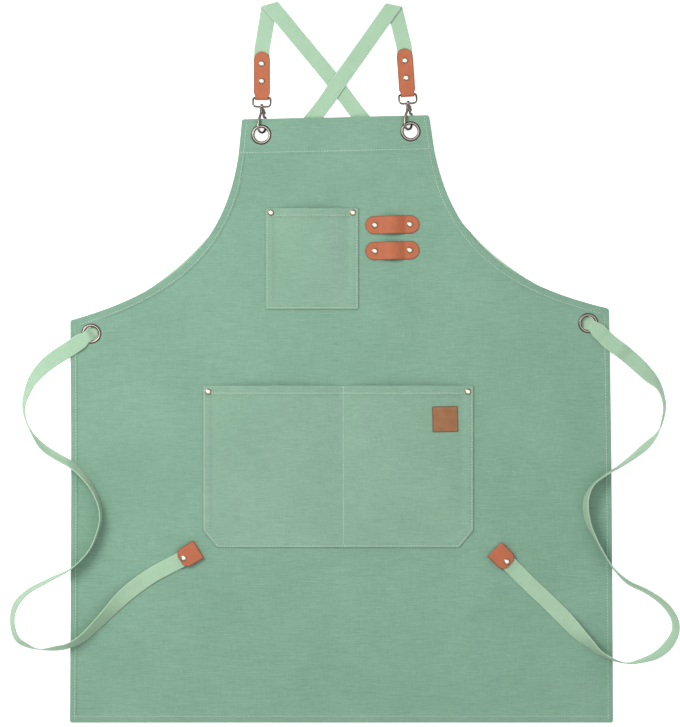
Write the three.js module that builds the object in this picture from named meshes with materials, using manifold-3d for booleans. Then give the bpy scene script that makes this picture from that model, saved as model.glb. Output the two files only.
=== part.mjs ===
// A cross-back apron lying flat on its back, front up, with its bib towards +Y: a canvas panel with two
// pockets and two leather tool loops, and two webbing straps. Each strap starts in a riveted leather tab,
// hooks into an eyelet at the bib's top, folds over, crosses the other one, runs behind the bib, comes
// out through the far side eyelet and lies in loose curves as a tie with a leather tip.
// Millimetres, +Z up. The origin is on the centreline of the panel's back, where it lies on the surface.
import * as THREE from "three";
import { mergeVertices } from "three/addons/utils/BufferGeometryUtils.js";
import Module from "manifold-3d";

const wasm = await Module();
wasm.setup();

// Stock and clearances
const gap = 0.3; // between pieces that touch
const floorGap = 0.15; // under loose pieces that lie on the surface
const canvas = 1;
const hemmed = 2; // canvas folded double
const leather = 1.4;
const webbing = 1.4;
const webbingWidth = 20;

// Panel, as cut and hemmed, before it is laid down
const topAbove = 570.5; // from the origin up to the bib's top edge
const cornerAbove = 316.5; // up to the skirt's upper corners
const hemBelow = 209.5; // down to the bottom hem
const bibWidth = 241;
const bandDepth = 45; // the double band at the bib's top
const bandWidth = 252; // at the band's lower edge
const cornerWidth = 694;
const skirtWidth = 700;
const armholeBends = [{ out: 0.085, down: 0.5 }, { out: 0.33, down: 0.82 }]; // shares of its reach and drop
const sideHem = 8;
const armholeHem = 10;
const bottomHem = 10;
const hemStep = 0.6; // width of the step from double to single canvas

// How the panel lies: the bib has drifted sideways and everything above the hem is turned a little
const bibDrift = 7.7;
const layTurn = 0.022;
const underLift = 1.95; // height of the upper panel's back, over the straps that lie under it
const liftFull = 200; // height above the origin where that lift is reached
const liftStart = 100; // and where it starts
const flatRound = 36; // radius of level canvas round each eyelet
const fadeRound = 90; // radius where the extra lift at an eyelet ends

// Eyelets
const holeRadius = 8.75;
const flangeRadius = 13;
const flange = 0.9;
const backFlange = 0.7;
const tube = 0.7; // wall of the eyelet's tube
const topEyelet = { inward: 27, down: 20.5 };
const sideEyelet = { inward: 27, down: 18 };
const sideLift = 2.9; // height of the canvas's back at the side eyelets, over strap and flange
const patch = { across: 36, down: 34 }; // doubled canvas round a side eyelet, from the hems' corner

// Rivets
const headRadius = 4;
const headHeight = 1.6;
const backCapRadius = 3.4;
const backCap = 0.8;
const shankRadius = 1.3;
const shankClearance = 0.3;

// Pockets, each placed by its mouth's middle
const chest = { x: -38, y: 453.5, width: 120, depth: 130.5, hem: 10.5, rim: 13, rivetDown: 6 };
const waist = { x: -4.3, y: 225, width: 349, depth: 209, hem: 11, rim: 13, rivetDown: 8 };
const pocketRivetInward = 7.2;
const mouthRise = 6.5; // how far a pocket's mouth stands open
const seamShare = 0.519; // the waist pocket's dividing seam, as a share of its width
const seamRim = 4;
const chamfer = { across: 18.5, up: 22 };

// Tool loops and label
const loop = { x: 65.5, upperY: 432, spacing: 33.3, length: 69.5, width: 23.5, pitch: 45, rise: 5.4 };
const loopFoot = 5.5; // flat leather past each rivet's centre
const smallTurn = 0.025; // how the loops and the label are turned
const label = { x: 133.4, y: 181.7, side: 33, thickness: 1.2 };

// Trigger hooks
const wireRadius = 1.5;
const hookWidth = 13.6; // between spine and nose, wire centre to wire centre
const hookTurn = THREE.MathUtils.degToRad(48); // turned about its own length, spine in front
const bendRise = 9.3; // from the eyelet's centre up to the bend's centre
const noseHeight = 14.5; // all heights on the hook are from the bend's centre
const barrel = { low: 19.2, high: 25, radius: 3 };
const postRadius = 1.1;
const collar = { height: 26.7, half: 1.3, radius: 2.6 };
const knob = { low: 28.4, high: 30.4, radius: 2.1 };
const pivot = { x: 1.5, y: 21.8, pin: 0.7, play: 0.2 };
const leverThickness = 2;
const slotWidth = 2.6;

// Bails and tabs
const bailRadius = 1.3;
const bailWidth = 25.2;
const bailLength = 11.6; // between its two bars
const bailCorner = 2.6;
const tab = { width: 20.8, neck: 17.6, length: 59.3, rivets: [21.4, 43.8], strapStart: 10, closing: 9 };
const tip = { width: 26, length: 28, strapEnd: 4.5, corner: 9, rivetInward: 22.4 };

// How each strap lies. fold is the middle of its upper crease, tabTurn turns its tab, hookShift moves
// its hook sideways in the eyelet, and tieReach and tieDrop are how far its tie, which comes out on the
// other side, reaches outward and downward from the side eyelet.
const straps = {
  left: {
    side: -1,
    fold: [-93.2, 714.9],
    route: [[-14.2, 622], [25.8, 569.7], [198.5, 378]],
    tabTurn: 0,
    hookShift: 0.6,
    tieReach: 112.5,
    tieDrop: 438,
  },
  right: {
    side: 1,
    fold: [68.1, 713.6],
    route: [[-5.9, 612], [-36.7, 569.7], [-188.2, 384.8]],
    tabTurn: THREE.MathUtils.degToRad(4.1),
    hookShift: -3,
    tieReach: 101.5,
    tieDrop: 406,
  },
};
const crossing = [-6.1, 612]; // the right strap lies over the left one here
const foldRadius = 1.2;
const foldFade = { near: 24, far: 52 }; // how far past the fold the webbing comes down to the surface
const crossingFade = { near: 16, far: 44 }; // and how far it goes each way to come down off the other one
const crossingSpare = 0.1;
const holeWidth = 14.5; // webbing bunched in the side eyelets

// The free ties: out and down are shares of tieReach and tieDrop, lean is how far the webbing is turned
// from flat, in degrees, with the edge on the inside of the first curve up.
const rightTie = [
  { out: 0.244, down: 0.055, lean: 0 },
  { out: 0.444, down: 0.094, lean: 5 },
  { out: 0.599, down: 0.13, lean: 15 },
  { out: 0.714, down: 0.16, lean: 35 },
  { out: 0.8, down: 0.185, lean: 62 },
  { out: 0.851, down: 0.217, lean: 74 },
  { out: 0.868, down: 0.252, lean: 77 },
  { out: 0.828, down: 0.3, lean: 82 },
  { out: 0.771, down: 0.329, lean: 95 },
  { out: 0.656, down: 0.361, lean: 112 },
  { out: 0.485, down: 0.397, lean: 104 },
  { out: 0.347, down: 0.422, lean: 96 },
  { out: 0.198, down: 0.445, lean: 92 },
  { out: 0.049, down: 0.476, lean: 92 },
  { out: -0.031, down: 0.523, lean: 106 },
  { out: -0.008, down: 0.582, lean: 105 },
  { out: 0.084, down: 0.635, lean: 94 },
  { out: 0.187, down: 0.682, lean: 90 },
  { out: 0.293, down: 0.723, lean: 92 },
  { out: 0.455, down: 0.762, lean: 104 },
  { out: 0.663, down: 0.788, lean: 107 },
  { out: 0.857, down: 0.823, lean: 110 },
  { out: 0.977, down: 0.865, lean: 112 },
  { out: 0.994, down: 0.906, lean: 113 },
  { out: 0.908, down: 0.947, lean: 120 },
  { out: 0.771, down: 0.976, lean: 112 },
  { out: 0.611, down: 0.991, lean: 100 },
  { out: 0.455, down: 0.999, lean: 88 },
  { out: 0.309, down: 0.991, lean: 82 },
  { out: 0.129, down: 0.968, lean: 72 },
  { out: 0.026, down: 0.944, lean: 58 },
  { out: -0.088, down: 0.918, lean: 36 },
  { out: -0.271, down: 0.868, lean: 6 },
  { out: -0.466, down: 0.818, lean: 0 },
  { out: -0.672, down: 0.768, lean: 0 },
  { out: -0.913, down: 0.706, lean: 0 },
  { out: -1.045, down: 0.672, lean: 0 },
];
const leftTie = [
  { out: 0.233, down: 0.041, lean: 0 },
  { out: 0.537, down: 0.091, lean: 20 },
  { out: 0.728, down: 0.142, lean: 47 },
  { out: 0.817, down: 0.19, lean: 65 },
  { out: 0.855, down: 0.231, lean: 77 },
  { out: 0.83, down: 0.273, lean: 84 },
  { out: 0.753, down: 0.314, lean: 90 },
  { out: 0.614, down: 0.358, lean: 110 },
  { out: 0.449, down: 0.387, lean: 114 },
  { out: 0.245, down: 0.416, lean: 112 },
  { out: 0.067, down: 0.46, lean: 106 },
  { out: -0.06, down: 0.511, lean: 100 },
  { out: -0.123, down: 0.571, lean: 95 },
  { out: -0.085, down: 0.628, lean: 93 },
  { out: 0.029, down: 0.689, lean: 91 },
  { out: 0.245, down: 0.743, lean: 89 },
  { out: 0.512, down: 0.778, lean: 81 },
  { out: 0.792, down: 0.816, lean: 75 },
  { out: 0.957, down: 0.86, lean: 69 },
  { out: 1, down: 0.914, lean: 71 },
  { out: 0.944, down: 0.965, lean: 67 },
  { out: 0.817, down: 0.987, lean: 72 },
  { out: 0.652, down: 1, lean: 85 },
  { out: 0.449, down: 0.997, lean: 71 },
  { out: 0.271, down: 0.987, lean: 68 },
  { out: 0.067, down: 0.956, lean: 58 },
  { out: -0.187, down: 0.892, lean: 44 },
  { out: -0.441, down: 0.827, lean: 15 },
  { out: -0.759, down: 0.768, lean: 0 },
  { out: -1.122, down: 0.719, lean: 0 },
  { out: -1.324, down: 0.689, lean: 0 },
];

// Sizes that follow
const hookAxis = floorGap + wireRadius + (hookWidth / 2) * Math.sin(hookTurn); // height of its length
const bandLift = hookAxis - hemmed / 2;
const rimTop = sideLift + hemmed + gap + flange;
const stackBase = floorGap + backCap + gap; // leather over a rivet's back cap
const stackStrap = stackBase + leather + gap + webbing / 2;
const stackTop = stackBase + 2 * leather + 2 * gap + webbing;
const barHeight = stackBase + leather + gap + bailRadius;
const skirtSpan = cornerAbove + hemBelow;

// Materials
const cloth = new THREE.MeshStandardMaterial({ color: 0x7fb097, roughness: 0.95 });
const pocketCloth = new THREE.MeshStandardMaterial({ color: 0x84b49b, roughness: 0.95 });
const strapWeb = new THREE.MeshStandardMaterial({ color: 0xa6e0ba, roughness: 0.85 });
const hide = new THREE.MeshStandardMaterial({ color: 0xc8734f, roughness: 0.6 });
const rivetMetal = new THREE.MeshStandardMaterial({ color: 0xe6dcc0, roughness: 0.3, metalness: 1 });
const eyeletMetal = new THREE.MeshStandardMaterial({ color: 0x8d8a80, roughness: 0.3, metalness: 1 });
const hookMetal = new THREE.MeshStandardMaterial({ color: 0x5b5a58, roughness: 0.35, metalness: 1 });

const apron = new THREE.Group();

function add(name, geometry, material, place = new THREE.Matrix4()) {
  const mesh = new THREE.Mesh(geometry, material);
  mesh.name = name;
  place.decompose(mesh.position, mesh.quaternion, mesh.scale);
  apron.add(mesh);
}

// A turn about +Z followed by a move
function placed(x, y, z, turn = 0) {
  return new THREE.Matrix4().makeRotationZ(turn).setPosition(x, y, z);
}

// Solids for joining and cutting
function solidOf(geometry) {
  const bare = geometry.clone();
  for (const name of Object.keys(bare.attributes)) {
    if (name !== "position") bare.deleteAttribute(name);
  }
  const merged = mergeVertices(bare, 1e-4);
  return new wasm.Manifold(
    new wasm.Mesh({
      numProp: 3,
      vertProperties: new Float32Array(merged.attributes.position.array),
      triVerts: new Uint32Array(merged.index.array),
    }),
  );
}

function geometryOf(solid) {
  const mesh = solid.getMesh();
  const geometry = new THREE.BufferGeometry();
  geometry.setAttribute("position", new THREE.BufferAttribute(new Float32Array(mesh.vertProperties), 3));
  geometry.setIndex(new THREE.BufferAttribute(new Uint32Array(mesh.triVerts), 1));
  geometry.computeVertexNormals();
  return geometry;
}

function without(geometry, cutters) {
  let solid = solidOf(geometry);
  for (const cutter of cutters) solid = solid.subtract(solidOf(cutter));
  return geometryOf(solid);
}

function joined(geometries) {
  return geometryOf(geometries.map(solidOf).reduce((all, next) => all.add(next)));
}

// An upright round cutter, from low to high
function drill(x, y, radius, low, high, sides = 16) {
  const cylinder = new THREE.CylinderGeometry(radius, radius, high - low, sides);
  cylinder.rotateX(Math.PI / 2);
  cylinder.translate(x, y, (low + high) / 2);
  return cylinder;
}

// A closed sheet over a grid of places, rows from +Y to -Y and columns from -X to +X
function slab(grid) {
  const rows = grid.length;
  const columns = grid[0].length;
  const positions = [];
  for (const face of ["top", "bottom"]) {
    for (const p of grid.flat()) positions.push(p.x, p.y, p[face]);
  }
  const index = [];
  const quad = (a, b, c, d) => index.push(a, b, c, a, c, d);
  const above = (r, c) => r * columns + c;
  const below = (r, c) => rows * columns + r * columns + c;
  for (let r = 0; r < rows - 1; r++) {
    for (let c = 0; c < columns - 1; c++) {
      quad(above(r, c), above(r + 1, c), above(r + 1, c + 1), above(r, c + 1));
      quad(below(r, c), below(r, c + 1), below(r + 1, c + 1), below(r + 1, c));
    }
  }
  const last = { row: rows - 1, column: columns - 1 };
  for (let c = 0; c < last.column; c++) {
    quad(above(0, c), above(0, c + 1), below(0, c + 1), below(0, c));
    quad(above(last.row, c), below(last.row, c), below(last.row, c + 1), above(last.row, c + 1));
  }
  for (let r = 0; r < last.row; r++) {
    quad(above(r, 0), below(r, 0), below(r + 1, 0), above(r + 1, 0));
    quad(above(r, last.column), above(r + 1, last.column), below(r + 1, last.column), below(r, last.column));
  }
  const geometry = new THREE.BufferGeometry();
  geometry.setAttribute("position", new THREE.Float32BufferAttribute(positions, 3));
  geometry.setIndex(index);
  return geometry;
}

// A closed body through rings of equal counts, capped unless it closes on itself
function sweep(rings, closes = false) {
  const sides = rings[0].length;
  const positions = rings.flat().flatMap((p) => p.toArray());
  const index = [];
  const spans = closes ? rings.length : rings.length - 1;
  for (let i = 0; i < spans; i++) {
    const here = i * sides;
    const next = ((i + 1) % rings.length) * sides;
    for (let k = 0; k < sides; k++) {
      const l = (k + 1) % sides;
      index.push(here + k, here + l, next + l, here + k, next + l, next + k);
    }
  }
  if (!closes) {
    const far = (rings.length - 1) * sides;
    for (let k = 1; k < sides - 1; k++) index.push(0, k + 1, k, far, far + k, far + k + 1);
  }
  const geometry = new THREE.BufferGeometry();
  geometry.setAttribute("position", new THREE.Float32BufferAttribute(positions, 3));
  geometry.setIndex(signedVolume(positions, index) < 0 ? index.reverse() : index);
  return geometry;
}

function signedVolume(positions, index) {
  const corner = (i) => new THREE.Vector3().fromArray(positions, 3 * index[i]);
  let sum = 0;
  for (let i = 0; i < index.length; i += 3) sum += corner(i).dot(corner(i + 1).cross(corner(i + 2)));
  return sum / 6;
}

function lathe(profile, sides) {
  const points = profile.map(([radius, height]) => new THREE.Vector2(radius, height));
  return new THREE.LatheGeometry(points, sides);
}

const mix = THREE.MathUtils.lerp;
const ramp = (value, from, to) => THREE.MathUtils.smoothstep(value, from, to);

// Where a place on the panel as cut comes to lie
function laid(x, y) {
  const up = Math.max(0, y) / topAbove;
  const settled = THREE.MathUtils.clamp((y + hemBelow) / skirtSpan, 0, 1);
  return { x: x - bibDrift * up * up, y: y + layTurn * x * settled };
}

// The height on the panel as cut of a place where it lies
function cutHeight(x, y) {
  const turned = (layTurn * x) / skirtSpan;
  const height = (y - turned * hemBelow) / (1 + turned);
  return height < cornerAbove ? height : y - layTurn * x;
}

const eyelets = [
  { name: "eyelet_top_left", side: -1, top: true },
  { name: "eyelet_top_right", side: 1, top: true },
  { name: "eyelet_side_left", side: -1, top: false },
  { name: "eyelet_side_right", side: 1, top: false },
].map((eyelet) => {
  const bandShare = topEyelet.down / bandDepth;
  const edge = eyelet.top ? mix(bibWidth, bandWidth, bandShare) / 2 : cornerWidth / 2;
  const inward = eyelet.top ? topEyelet.inward : sideEyelet.inward;
  const height = eyelet.top ? topAbove - topEyelet.down : cornerAbove - sideEyelet.down;
  return {
    ...eyelet,
    ...laid(eyelet.side * (edge - inward), height),
    lift: eyelet.top ? bandLift : sideLift,
  };
});

function eyeletAt(side, top) {
  return eyelets.find((eyelet) => eyelet.side === side && eyelet.top === top);
}

// Height of the panel's back over the surface
function backHeight(x, y) {
  const share = (cutHeight(x, y) - liftStart) / (liftFull - liftStart);
  const under = underLift * THREE.MathUtils.clamp(share, 0, 1);
  const raised = eyelets.map((eyelet) => {
    const distance = Math.hypot(x - eyelet.x, y - eyelet.y);
    return mix(eyelet.lift, under, ramp(distance, flatRound, fadeRound));
  });
  return Math.max(under, ...raised);
}

// Panel

// One side's outline as cut, from the bib's top to the bottom hem, with the hem's depth at each point
function outline() {
  const bandFoot = new THREE.Vector2(bandWidth / 2, topAbove - bandDepth);
  const corner = new THREE.Vector2(cornerWidth / 2, cornerAbove);
  const foot = new THREE.Vector2(skirtWidth / 2, -hemBelow);
  const reach = corner.x - bandFoot.x;
  const drop = bandFoot.y - corner.y;
  const bends = armholeBends.map(
    ({ out, down }) => new THREE.Vector2(bandFoot.x + out * reach, bandFoot.y - down * drop),
  );
  const armhole = new THREE.CubicBezierCurve(bandFoot, ...bends, corner);
  const points = [];
  for (const share of [0, 0.5, 1]) {
    const x = mix(bibWidth, bandWidth, share) / 2;
    points.push({ x, y: topAbove - share * bandDepth, inward: [sideHem, 0], band: true });
  }
  points.push({ x: bandFoot.x, y: bandFoot.y - hemStep, inward: [sideHem, 0] });
  const steps = 11;
  for (let i = 1; i < steps; i++) {
    const at = armhole.getPoint(i / steps);
    const along = armhole.getTangent(i / steps);
    const hem = mix(sideHem, armholeHem, Math.min(1, (3 * i) / steps));
    points.push({ x: at.x, y: at.y, inward: [-along.y * hem, along.x * hem] });
  }
  const end = armhole.getTangent(1);
  const cornerDown = (armholeHem + sideHem * -end.y) / end.x;
  points.push({ x: corner.x, y: corner.y, inward: [sideHem, cornerDown], patched: true });
  const down = (drop, options = {}) => {
    const x = mix(corner.x, foot.x, drop / skirtSpan);
    points.push({ x, y: corner.y - drop, inward: [sideHem, 0], ...options });
  };
  down(patch.down, { patched: true });
  down(patch.down + hemStep);
  down(cornerAbove - liftFull - 40);
  down(cornerAbove - liftFull);
  down(cornerAbove - liftStart);
  down(cornerAbove);
  down(cornerAbove + hemBelow / 2);
  down(skirtSpan - bottomHem - hemStep);
  down(skirtSpan - bottomHem, { band: true });
  down(skirtSpan, { band: true });
  return points;
}

const patchShare = patch.across / cornerWidth;
const patchStep = hemStep / cornerWidth;
const halfShares = [0, patchShare, patchShare + patchStep, 0.14, 0.25, 0.375, 0.5];
const columnShares = [...halfShares, ...halfShares.slice(0, -1).reverse().map((share) => 1 - share)];

function panelVertex(x, y, thickness) {
  const at = laid(x, y);
  const back = backHeight(at.x, at.y);
  return { x: at.x, y: at.y, bottom: back, top: back + thickness };
}

function panelGrid() {
  return outline().map((point) => {
    const middle = point.band ? hemmed : canvas;
    const innerX = point.x - point.inward[0];
    const innerY = point.y - point.inward[1];
    const half = innerX - hemStep;
    const row = columnShares.map((share) => {
      const doubled = point.patched && Math.min(share, 1 - share) < patchShare + patchStep / 2;
      return panelVertex(mix(-half, half, share), innerY, doubled ? hemmed : middle);
    });
    const border = (side) => [
      panelVertex(side * point.x, point.y, hemmed),
      panelVertex(side * innerX, innerY, hemmed),
    ];
    return [...border(-1), ...row, ...border(1).reverse()];
  });
}

// Rivets through the panel and what is sewn or laid on it
const panelRivets = [];

function rivetThroughPanel(name, x, y, layers) {
  const back = backHeight(x, y);
  panelRivets.push({ name, x, y, back, front: back + canvas + layers });
}

for (const [name, pocket] of [["chest", chest], ["waist", waist]]) {
  for (const [word, side] of [["left", -1], ["right", 1]]) {
    const x = pocket.x + side * (pocket.width / 2 - pocketRivetInward);
    rivetThroughPanel(`rivet_${name}_${word}`, x, pocket.y - pocket.rivetDown, gap + hemmed);
  }
}

const loops = [
  { name: "upper", x: loop.x, y: loop.upperY },
  { name: "lower", x: loop.x, y: loop.upperY - loop.spacing },
];
for (const { name, x, y } of loops) {
  for (const [word, side] of [["left", -1], ["right", 1]]) {
    const along = (side * loop.pitch) / 2;
    const at = [x + along * Math.cos(smallTurn), y + along * Math.sin(smallTurn)];
    rivetThroughPanel(`rivet_loop_${name}_${word}`, ...at, gap + leather);
  }
}

const high = 40; // cutters reach past every layer
const rivetDrills = panelRivets.map(({ x, y }) => drill(x, y, shankRadius + shankClearance, -high, high, 8));
const eyeletDrills = eyelets.map(({ x, y }) => drill(x, y, holeRadius + tube + gap, -high, high, 16));
add("apron_panel", without(slab(panelGrid()), [...rivetDrills, ...eyeletDrills]), cloth);

// Eyelets

for (const eyelet of eyelets) {
  const back = eyelet.lift - gap;
  const front = eyelet.lift + hemmed + gap;
  const lip = 0.45;
  const ring = lathe(
    [
      [holeRadius, back - backFlange],
      [holeRadius, front + flange - lip],
      [holeRadius + lip, front + flange],
      [flangeRadius - lip, front + flange],
      [flangeRadius, front + flange - lip],
      [flangeRadius, front],
      [holeRadius + tube, front],
      [holeRadius + tube, back],
      [flangeRadius - lip, back],
      [flangeRadius - lip, back - backFlange],
      [holeRadius, back - backFlange],
    ].reverse(),
    16,
  );
  ring.rotateX(Math.PI / 2);
  add(eyelet.name, ring, eyeletMetal, placed(eyelet.x, eyelet.y, 0));
}

// Pockets

// How far a compartment stands off the panel, across it and down from its mouth
function pocketRise(across, down) {
  const side = Math.abs(2 * THREE.MathUtils.clamp(across, 0, 1) - 1);
  return mouthRise * (1 - side ** 2.4) * (1 - Math.min(1, down) ** 1.7);
}

const bulgeShares = [0, 0.12, 0.3, 0.5, 0.7, 0.88, 1];

// Compartments as pairs of distances from the pocket's left edge
function compartments(pocket) {
  if (pocket === chest) return [[pocket.rim, pocket.width - pocket.rim]];
  const seam = seamShare * pocket.width;
  return [[pocket.rim, seam - seamRim], [seam + seamRim, pocket.width - pocket.rim]];
}

// Height of the pocket's back, at a distance from its left edge and down from its mouth
function pocketBack(pocket, across, down) {
  const x = pocket.x - pocket.width / 2 + across;
  const y = pocket.y - down;
  const base = backHeight(x, y) + canvas + gap;
  const room = pocket.depth - pocket.rim;
  const rises = compartments(pocket).map(([from, to]) =>
    across > from && across < to ? pocketRise((across - from) / (to - from), down / room) : 0,
  );
  return base + Math.max(...rises);
}

// Upright cutters that take off the waist pocket's lower corners
function chamferCutters(pocket) {
  return [-1, 1].map((side) => {
    const cornerX = pocket.x + (side * pocket.width) / 2;
    const cornerY = pocket.y - pocket.depth;
    const past = 5;
    const shape = new THREE.Shape();
    const slope = chamfer.up / chamfer.across;
    shape.moveTo(cornerX - side * (chamfer.across + past / slope), cornerY - past);
    shape.lineTo(cornerX + side * past, cornerY - past);
    shape.lineTo(cornerX + side * past, cornerY + chamfer.up + past * slope);
    shape.closePath();
    const block = new THREE.ExtrudeGeometry(shape, { depth: 2 * high, bevelEnabled: false });
    block.translate(0, 0, -high);
    return block;
  });
}

function pocketGrid(pocket) {
  const distances = [0];
  for (const [from, to] of compartments(pocket)) {
    for (const share of bulgeShares) distances.push(mix(from, to, share));
  }
  distances.push(pocket.width);
  const room = pocket.depth - pocket.rim;
  const downs = [0, pocket.hem, pocket.hem + hemStep];
  for (const share of [0.2, 0.4, 0.6, 0.8, 1]) downs.push(share * room);
  downs.push(pocket.depth);
  return downs.map((down, row) => {
    const thickness = row < 2 ? hemmed : canvas;
    return distances.map((distance) => {
      const back = pocketBack(pocket, distance, down);
      const x = pocket.x - pocket.width / 2 + distance;
      return { x, y: pocket.y - down, bottom: back, top: back + thickness };
    });
  });
}

add("chest_pocket", without(slab(pocketGrid(chest)), rivetDrills), pocketCloth);
add(
  "waist_pocket",
  without(slab(pocketGrid(waist)), [...rivetDrills, ...chamferCutters(waist)]),
  pocketCloth,
);

// Tool loops: flat at the rivets and arched between them

function toolLoop(x, y) {
  const half = loop.length / 2;
  const archHalf = loop.pitch / 2 - loopFoot;
  const end = loop.width / 2; // fully round ends
  const narrowest = 1.5; // half of the short flat at each end
  const arch = [0, 0.25, 0.5, 0.75, 1].map((share) => archHalf * share);
  const round = [0, 0.55, 0.8, 0.94, 1].map((share) => half - end + end * share);
  const right = [...arch, loop.pitch / 2, ...round];
  const along = [...right.slice(1).map((distance) => -distance), ...right].sort((a, b) => a - b);
  const rows = [1, 0, -1];
  const grid = rows.map((row) =>
    along.map((distance) => {
      const past = Math.max(0, Math.abs(distance) - (half - end)) / end;
      const width = end * Math.sqrt(Math.max(0, 1 - past * past));
      const across = row * Math.max(width, narrowest);
      const px = x + distance * Math.cos(smallTurn) - across * Math.sin(smallTurn);
      const py = y + distance * Math.sin(smallTurn) + across * Math.cos(smallTurn);
      const rise = Math.max(0, 1 - (distance / archHalf) ** 2) * loop.rise;
      const back = backHeight(x, y) + canvas + gap + rise;
      return { x: px, y: py, bottom: back, top: back + leather };
    }),
  );
  return slab(grid);
}

for (const { name, x, y } of loops) {
  add(`tool_loop_${name}`, without(toolLoop(x, y), rivetDrills), hide);
}

// Label: a square leather patch that follows the waist pocket

function labelGrid() {
  const shares = [0.5, 0.25, 0, -0.25, -0.5];
  return shares.map((up) =>
    shares.map((left) => {
      const across = -left * label.side;
      const rise = up * label.side;
      const x = label.x + across * Math.cos(smallTurn) - rise * Math.sin(smallTurn);
      const y = label.y + across * Math.sin(smallTurn) + rise * Math.cos(smallTurn);
      const back = pocketBack(waist, x - waist.x + waist.width / 2, waist.y - y) + canvas + gap;
      return { x, y, bottom: back, top: back + label.thickness };
    }),
  );
}

add("label_patch", slab(labelGrid()), hide);

// Rivets: a domed head, a shank and a flat cap at the back

function rivet(backSeat, frontSeat) {
  const shape = lathe(
    [
      [0, backSeat - backCap],
      [backCapRadius, backSeat - backCap],
      [backCapRadius, backSeat],
      [shankRadius, backSeat],
      [shankRadius, frontSeat],
      [headRadius, frontSeat],
      [headRadius, frontSeat + 0.3 * headHeight],
      [0.62 * headRadius, frontSeat + 0.85 * headHeight],
      [0, frontSeat + headHeight],
    ],
    8,
  );
  shape.rotateX(Math.PI / 2);
  return shape;
}

for (const { name, x, y, back, front } of panelRivets) {
  add(name, rivet(back - gap, front + gap), rivetMetal, placed(x, y, 0));
}

// Straps

// A place on the panel's front, or on the surface beside it, or on a side eyelet's rim
function groundHeight(x, y) {
  for (const eyelet of eyelets) {
    if (!eyelet.top && Math.hypot(x - eyelet.x, y - eyelet.y) < flangeRadius + 1) return rimTop;
  }
  const height = cutHeight(x, y);
  if (height < -hemBelow || height > cornerAbove) return 0;
  const edge = mix(cornerWidth, skirtWidth, (cornerAbove - height) / skirtSpan) / 2;
  const inside = edge - Math.abs(x);
  if (inside < -2) return 0;
  const corner = inside < sideHem + patch.across + 4 && cornerAbove - height < patch.down + 4;
  const doubled = corner || inside < sideHem + 4 || height + hemBelow < bottomHem + 4;
  return backHeight(x, y) + (doubled ? hemmed : canvas);
}

// The highest ground under a strip of webbing
function groundUnder(x, y, reach) {
  let highest = groundHeight(x, y);
  for (let i = 0; i < 8; i++) {
    const turn = (i * Math.PI) / 4;
    const ground = groundHeight(x + reach * Math.cos(turn), y + reach * Math.sin(turn));
    highest = Math.max(highest, ground);
  }
  return highest;
}

// A smooth way through rows of { x, y, lean }, by distance along it
function trace(rows) {
  const plan = new THREE.CatmullRomCurve3(
    rows.map((row) => new THREE.Vector3(row.x, row.y, 0)),
    false,
    "catmullrom",
    0.5,
  );
  const leans = new THREE.CatmullRomCurve3(
    rows.map((row) => new THREE.Vector3(row.lean, 0, 0)),
    false,
    "catmullrom",
    0.5,
  );
  const samples = [];
  const count = rows.length * 24;
  let length = 0;
  for (let i = 0; i <= count; i++) {
    const point = plan.getPoint(i / count);
    if (i) length += point.distanceTo(samples[i - 1].point);
    samples.push({ point, lean: leans.getPoint(i / count).x, length });
  }
  const at = (distance) => {
    let i = 1;
    while (i < samples.length - 1 && samples[i].length < distance) i++;
    const share = (distance - samples[i - 1].length) / (samples[i].length - samples[i - 1].length);
    const before = samples[Math.max(0, i - 3)].point;
    const after = samples[Math.min(samples.length - 1, i + 2)].point;
    const place = samples[i - 1].point.clone().lerp(samples[i].point, share);
    const heading = after.clone().sub(before).normalize();
    return { place, heading, lean: mix(samples[i - 1].lean, samples[i].lean, share) };
  };
  const nearest = (x, y) => {
    const target = new THREE.Vector3(x, y, 0);
    return samples.reduce((best, s) => (s.point.distanceTo(target) < best.point.distanceTo(target) ? s : best))
      .length;
  };
  return { length, at, nearest };
}

const up = new THREE.Vector3(0, 0, 1);

function leftOf(heading) {
  return new THREE.Vector3(-heading.y, heading.x, 0).normalize();
}

// Webbing through stations of { place, across }, across reaching from the middle to one edge
function ribbon(stations) {
  const rings = stations.map(({ place, across }, i) => {
    const before = stations[Math.max(0, i - 1)].place;
    const after = stations[Math.min(stations.length - 1, i + 1)].place;
    const along = after.clone().sub(before).normalize();
    const normal = along.cross(across).normalize();
    const edges = [place.clone().add(across), place.clone().sub(across)];
    const face = (side) => edges.map((p) => p.clone().addScaledVector(normal, (side * webbing) / 2));
    return [...face(1), ...face(-1).reverse()];
  });
  return sweep(rings);
}

// The two ends of the webbing's lie where it folds over itself, as stations round a half turn
function foldStations(fold, before, after) {
  const crease = before.clone().add(after.clone()).normalize();
  const outward = before.clone().sub(after).normalize();
  const slant = { sine: before.dot(outward), cosine: before.dot(crease) };
  const toLeft = Math.sign(crease.dot(leftOf(before)));
  const across = crease.clone().multiplyScalar((toLeft * webbingWidth) / 2 / slant.sine);
  const middle = floorGap + webbing / 2 + foldRadius;
  const stations = [];
  const turns = 6;
  for (let i = 0; i <= turns; i++) {
    const turn = (i * Math.PI) / turns;
    const place = fold
      .clone()
      .addScaledVector(crease, (turn * foldRadius * slant.cosine) / slant.sine)
      .addScaledVector(outward, foldRadius * Math.sin(turn))
      .setZ(middle - foldRadius * Math.cos(turn));
    stations.push({ place, across });
  }
  return { stations, clear: (webbingWidth / 2) * Math.abs(slant.cosine / slant.sine) + 4 };
}

const layHeight = floorGap + webbing / 2;

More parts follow.
